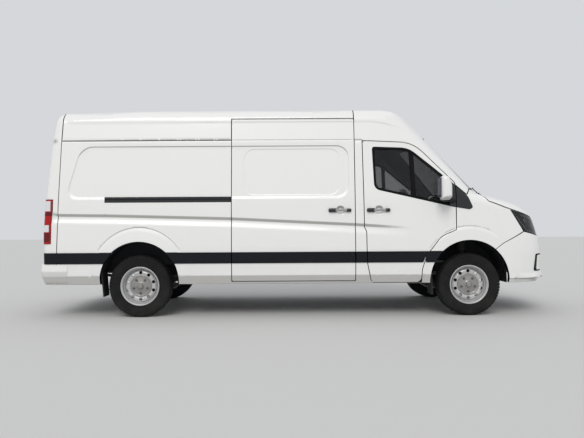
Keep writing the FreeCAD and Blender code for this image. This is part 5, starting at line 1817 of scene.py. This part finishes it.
@dataclass
class Wheels:
    """Four steel wheels with their tyres, brake discs and nuts."""

    dress: Dresser
    repeat: Repeater
    form: BodyForm
    sizes: WheelSizes = WheelSizes()

    rim_rows: Sequence[Row] = (
        (0.221, 0.096, 0.002), (0.2135, 0.096, 0.003), (0.1995, 0.081, 0.006), (0.1985, 0.050, 0.010),
        (0.184, 0.030, 0.010), (0.180, 0.018, 0.004), (0.179, -0.022, 0.004), (0.197, -0.045, 0.006),
        (0.198, -0.080, 0.006), (0.214, -0.095, 0.002), (0.221, -0.095, 0.002), (0.221, -0.089, 0.001),
        (0.205, -0.082, 0.003), (0.205, -0.042, 0.004), (0.186, -0.024, 0.004), (0.186, 0.022, 0.004),
        (0.205, 0.042, 0.004), (0.205, 0.082, 0.003), (0.221, 0.089, 0.001),
    )
    cap_rows: Sequence[Row] = (
        (0.0, 0.0905, 0), (0.024, 0.0905, 0.003), (0.030, 0.086, 0.003), (0.033, 0.070, 0.004),
        (0.044, 0.064, 0.006), (0.104, 0.055, 0.004), (0.110, 0.0585, 0.003), (0.120, 0.0585, 0.004),
        (0.1245, 0.050, 0.002), (0.1245, 0.038, 0), (0.0, 0.038, 0),
    )
    disc_rows: Sequence[Row] = (
        (0.030, -0.046, 0.001), (0.140, -0.046, 0.002), (0.140, -0.070, 0.002), (0.030, -0.070, 0.001),
    )
    nut_rows: Sequence[Row] = (
        (0.0, 0.078, 0), (0.0095, 0.078, 0.002), (0.0135, 0.072, 0.001), (0.0135, 0.054, 0), (0.0, 0.054, 0),
    )
    tyre_side: Sequence[Row] = (
        (0.2055, 0.0805, 0), (0.2215, 0.0895, 0.002), (0.228, 0.0995, 0.004), (0.2365, 0.1035, 0.003),
        (0.2415, 0.1015, 0.003), (0.262, 0.1055, 0.03), (0.2885, 0.1075, 0.02), (0.2915, 0.1062, 0.002),
        (0.3125, 0.1052, 0.02), (0.3155, 0.1068, 0.002), (0.3335, 0.1010, 0.01), (0.3435, 0.0900, 0.01),
    )
    rib_edges: Sequence[tuple[float, float]] = ((0.062, 0.036), (0.026, -0.026), (-0.036, -0.062))

    def tyre_rows(self) -> list[Row]:
        """The tyre's closed profile: sidewalls, and ribs with grooves between them."""
        size = self.sizes
        rows: list[Row] = list(self.tyre_side)
        for first, last in self.rib_edges:
            rows += [(size.tread_base, first + 0.002, 0.001), (size.tyre_radius, first, 0.0015),
                     (size.tyre_radius, last, 0.0015), (size.tread_base, last - 0.002, 0.001)]
        return rows + [(r, -o, c) for r, o, c in reversed(self.tyre_side)]

    def build(self) -> None:
        """Builds the wheels."""
        for end, x in (("front", self.form.front_axle), ("rear", self.form.rear_axle)):
            for side in Side:
                self.wheel(f"{end}_{side.word}", x, side)

    @staticmethod
    def shoulder(points: Array) -> Array:
        """Points of a tread block, bent down at its outer end and slanted round the tyre."""
        drop = -1.1 * np.maximum(points[:, 1], 0) ** 2 * 40 * 0.4
        return points + np.stack([drop, 0 * points[:, 0], 0.15 * points[:, 1]], 1)

    def wheel(self, name: str, x: float, side: Side) -> None:
        """One wheel at its axle."""
        size, sign, dress = self.sizes, side.value, self.dress
        centre = (x, sign * size.half_track, size.axle_height)
        tyre = Shape.turned(self.tyre_rows(), sign, 120).moved(centre)
        rim = Shape.turned(self.rim_rows, sign, 90).moved(centre)
        cap = Shape.turned(self.cap_rows, sign, 60).moved(centre)
        disc = Shape.turned(self.disc_rows, sign, 48).moved(centre)
        face = HubFace(centre, sign, Curve((0.0, 0.044, 0), (0.128, 0.046, 0.01), (0.160, 0.0535, 0.02),
                                           (0.173, 0.042, 0.01), (0.183, 0.026, 0)))
        turns = [2 * math.pi * (i + 0.5) / size.holes for i in range(size.holes)]
        holes = [circle(size.hole_circle * math.cos(t), size.hole_circle * math.sin(t), size.hole_radius)
                 for t in turns]
        web = Panel(circle(0, 0, 0.1825, 72), [circle(0, 0, 0.118, 48), *holes], thickness=0.009, gap=0.0,
                    edge=0.0025, spacing=0.012)
        nut = Shape.turned(self.nut_rows, sign, 6).moved((size.nut_circle, 0, 0))
        block = Shape.block((0.0165, 0.030, 0.0262), 0.0015, 1).warped(self.shoulder)
        pieces = [
            (tyre.build(f"tyre_{name}_carcass", dress(TYRE)), "tyre"),
            (rim.build(f"rim_{name}_barrel", dress(SILVER)), "wheel_steel"),
            (web.build(f"rim_{name}_web", face, dress(SILVER)), "wheel_steel"),
            (cap.build(f"rim_{name}_cap", dress(CAP)), "wheel_steel"),
            (disc.build(f"rim_{name}_disc", dress(DISC)), "wheel_steel"),
            (self.repeat(f"rim_{name}_nuts", nut, size.nuts, centre, dress(NUT), 90.0), "wheel_steel"),
        ]
        for row, shift in (("outer", 0.0), ("inner", 0.5)):
            way = 1 if row == "outer" else -1
            lug = block.warped(lambda p: p * np.array([1, way * sign, way]))
            lug = lug.moved((size.block_radius, way * sign * size.block_offset, 0))
            pieces.append((self.repeat(f"tyre_{name}_blocks_{row}", lug, size.blocks, centre, dress(TYRE),
                                       shift * 360 / size.blocks), "tyre"))
        for piece, kind in pieces:
            settle(piece, f"wheel_{name}", kind, [f"tyre_{name}" if kind == "tyre" else f"rim_{name}"])


@dataclass(frozen=True)
class Pad:
    """One kind of seat pad.

    Attributes:
        section: outline in side view.
        edge: radius of the rounded ends.
        pull: how far the cover is pulled in between the corners.
        seams: places of the sewn lines across the width, from 0 to 1.
        channels: heights of the sewn channels.
    """

    section: Sequence[Row]
    edge: float
    pull: float
    seams: tuple[float, ...] = ()
    channels: tuple[float, ...] = ()


@dataclass
class Seats:
    """Padded cushions, backrests and head restraints of the three places."""

    dress: Dresser
    # Name, lowest y, highest y
    places: Sequence[tuple[str, float, float]] = (
        ("driver", 0.170, 0.700), ("bench_right", -0.830, -0.365), ("bench_middle", -0.365, 0.100),
    )
    cushion: Pad = Pad(
        ((0.772, 0.864, 0.02), (1.244, 0.864, 0.03), (1.263, 0.994, 0.05), (0.806, 0.978, 0.03)),
        edge=0.045, pull=0.010, seams=(0.105, 0.895),
    )
    back: Pad = Pad(
        ((0.799, 0.992, 0.02), (0.888, 1.004, 0.03), (0.796, 1.552, 0.04), (0.712, 1.552, 0.035)),
        edge=0.040, pull=0.008, seams=(0.155, 0.845), channels=(1.16, 1.34),
    )
    head: Pad = Pad(
        ((0.722, 1.590, 0.02), (0.783, 1.590, 0.025), (0.766, 1.734, 0.03), (0.698, 1.734, 0.03)),
        edge=0.050, pull=0.004,
    )
    stitch: float = 0.007

    def build(self) -> None:
        """Builds the pads and the posts of the head restraints."""
        for name, low, high in self.places:
            middle = (low + high) / 2
            self.pad(f"seat_cushion_{name}", self.cushion, low + 0.003, high - 0.003)
            self.pad(f"seat_back_{name}", self.back, low + 0.013, high - 0.013)
            self.pad(f"seat_head_{name}", self.head, middle - 0.126, middle + 0.126)
            posts = Shape.tube([(0.752, middle - 0.06, 1.540), (0.748, middle - 0.06, 1.602)], 0.006)
            posts += Shape.tube([(0.752, middle + 0.06, 1.540), (0.748, middle + 0.06, 1.602)], 0.006)
            piece = posts.build(f"seat_posts_{name}", self.dress(CHASSIS))
            settle(piece, "root", "interior_plastic", ["seats"])

    def pad(self, name: str, kind: Pad, low: float, high: float) -> None:
        """One pad: crowned, pulled in between its corners, with its seams and sewn channels.

        Args:
            name: name of the piece.
            kind: its section and sewing.
            low: lowest y.
            high: highest y.
        """
        outline = turning_left(rounded_path(tuple(kind.section), closed=True, step=0.014))
        middle = (outline.min(0) + outline.max(0)) / 2
        half = (outline.max(0) - outline.min(0)) / 2
        spot = (outline - middle) / half
        turns = np.linspace(0, math.pi, 61)
        loops = []
        for across in (1 - np.cos(turns)) / 2:
            y = low + (high - low) * across
            near = min(y - low, high - y)
            shrink = drawn_in(kind.edge, near) + 0.008 * (2 * across - 1) ** 2
            for seam in kind.seams:
                shrink += self.stitch * math.exp(-((across - seam) * (high - low) / 0.009) ** 2)
            loop = outline - spot * min(shrink, float(half.min()) * 0.97)
            loop[:, 0] -= kind.pull * (1 - (2 * across - 1) ** 2) * spot[:, 0] * (1 - spot[:, 1] ** 2)
            for level in kind.channels:
                depth = self.stitch * np.exp(-((loop[:, 1] - level) / 0.010) ** 2)
                loop[:, 0] -= depth * np.sign(spot[:, 0])
            inward = kind.pull * np.prod(1 - np.clip(np.abs(spot), 0, 1) ** 2, axis=1)
            loops.append(np.stack([loop[:, 0], y - inward * np.sign(across - 0.5), loop[:, 1]], 1))
        piece = settle(Shape.loft(loops).build(name, self.dress(SEAT)), "root", "seat_fabric", ["seats"])


class Node:
    """Finishes of the CAD nodes that are shown as they are."""

    finishes: dict[str, Finish] = {
        "cowl": PLASTIC, "floor": FLOOR_STEEL, "bulkhead": FLOOR_STEEL, "wheel_liners": PLASTIC,
        "seat_bases": FLOOR_STEEL, "seats": SEAT, "dashboard": INTERIOR, "steering_wheel": INTERIOR,
        "wipers": BLACK, "front_suspension": CHASSIS, "rear_axle": CHASSIS, "leaf_springs": CHASSIS,
        "frame_rails": CHASSIS, "driveline": CHASSIS, "engine": CAST, "fuel_tank": PLASTIC,
        "exhaust": GALVANISED, "tail_lamps": LAMP_RED, "headlamps": LAMP_WHITE, "grille": BLACK,
        "front_bumper": PAINT, "rear_bumper": PAINT, "side_strips": STRIP, "slide_rail": BLACK,
        "sliding_door_trim": STRIP, "front_door_trim": STRIP, "mirror": PAINT, "knuckle": CHASSIS,
        "rim": SILVER, "tyre": TYRE, "pillar_trims": BLACK,
    }

    @classmethod
    def dress(cls, nodes: dict[str, bpy.types.Object], dress: Dresser) -> None:
        """Gives every CAD node its finish."""
        for name, obj in nodes.items():
            if name in ("windscreen", "front_glass_right", "front_glass_left"):
                material = dress.made["screen_glass"]
            else:
                stem = name if name in cls.finishes else name.rsplit("_", 1)[0]
                stem = stem if stem in cls.finishes else stem.rsplit("_", 1)[0]
                material = dress(cls.finishes.get(stem, PAINT))
            obj.data.materials.clear()
            obj.data.materials.append(material)


def main() -> None:
    """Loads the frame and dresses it."""
    logging.basicConfig(level=logging.INFO, format="%(levelname)s %(message)s")
    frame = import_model()
    dress = Dresser()
    dress.glass("door_glass", GLASS_TINT, 0.62)
    dress.glass("screen_glass", GLASS_TINT, 0.5)
    dress.glass("lamp_cover", (0.02, 0.022, 0.025), 0.62)
    Stage().build()
    Node.dress(frame["nodes"], dress)
    form = BodyForm()
    for builder in (Panels, Bumpers, Lamps):
        builder(form, dress).build()
    Wheels(dress, Repeater(), form).build()
    Trim(Skin(form, dress), dress).build()
    Seats(dress).build()


if __name__ == "__main__":
    main()
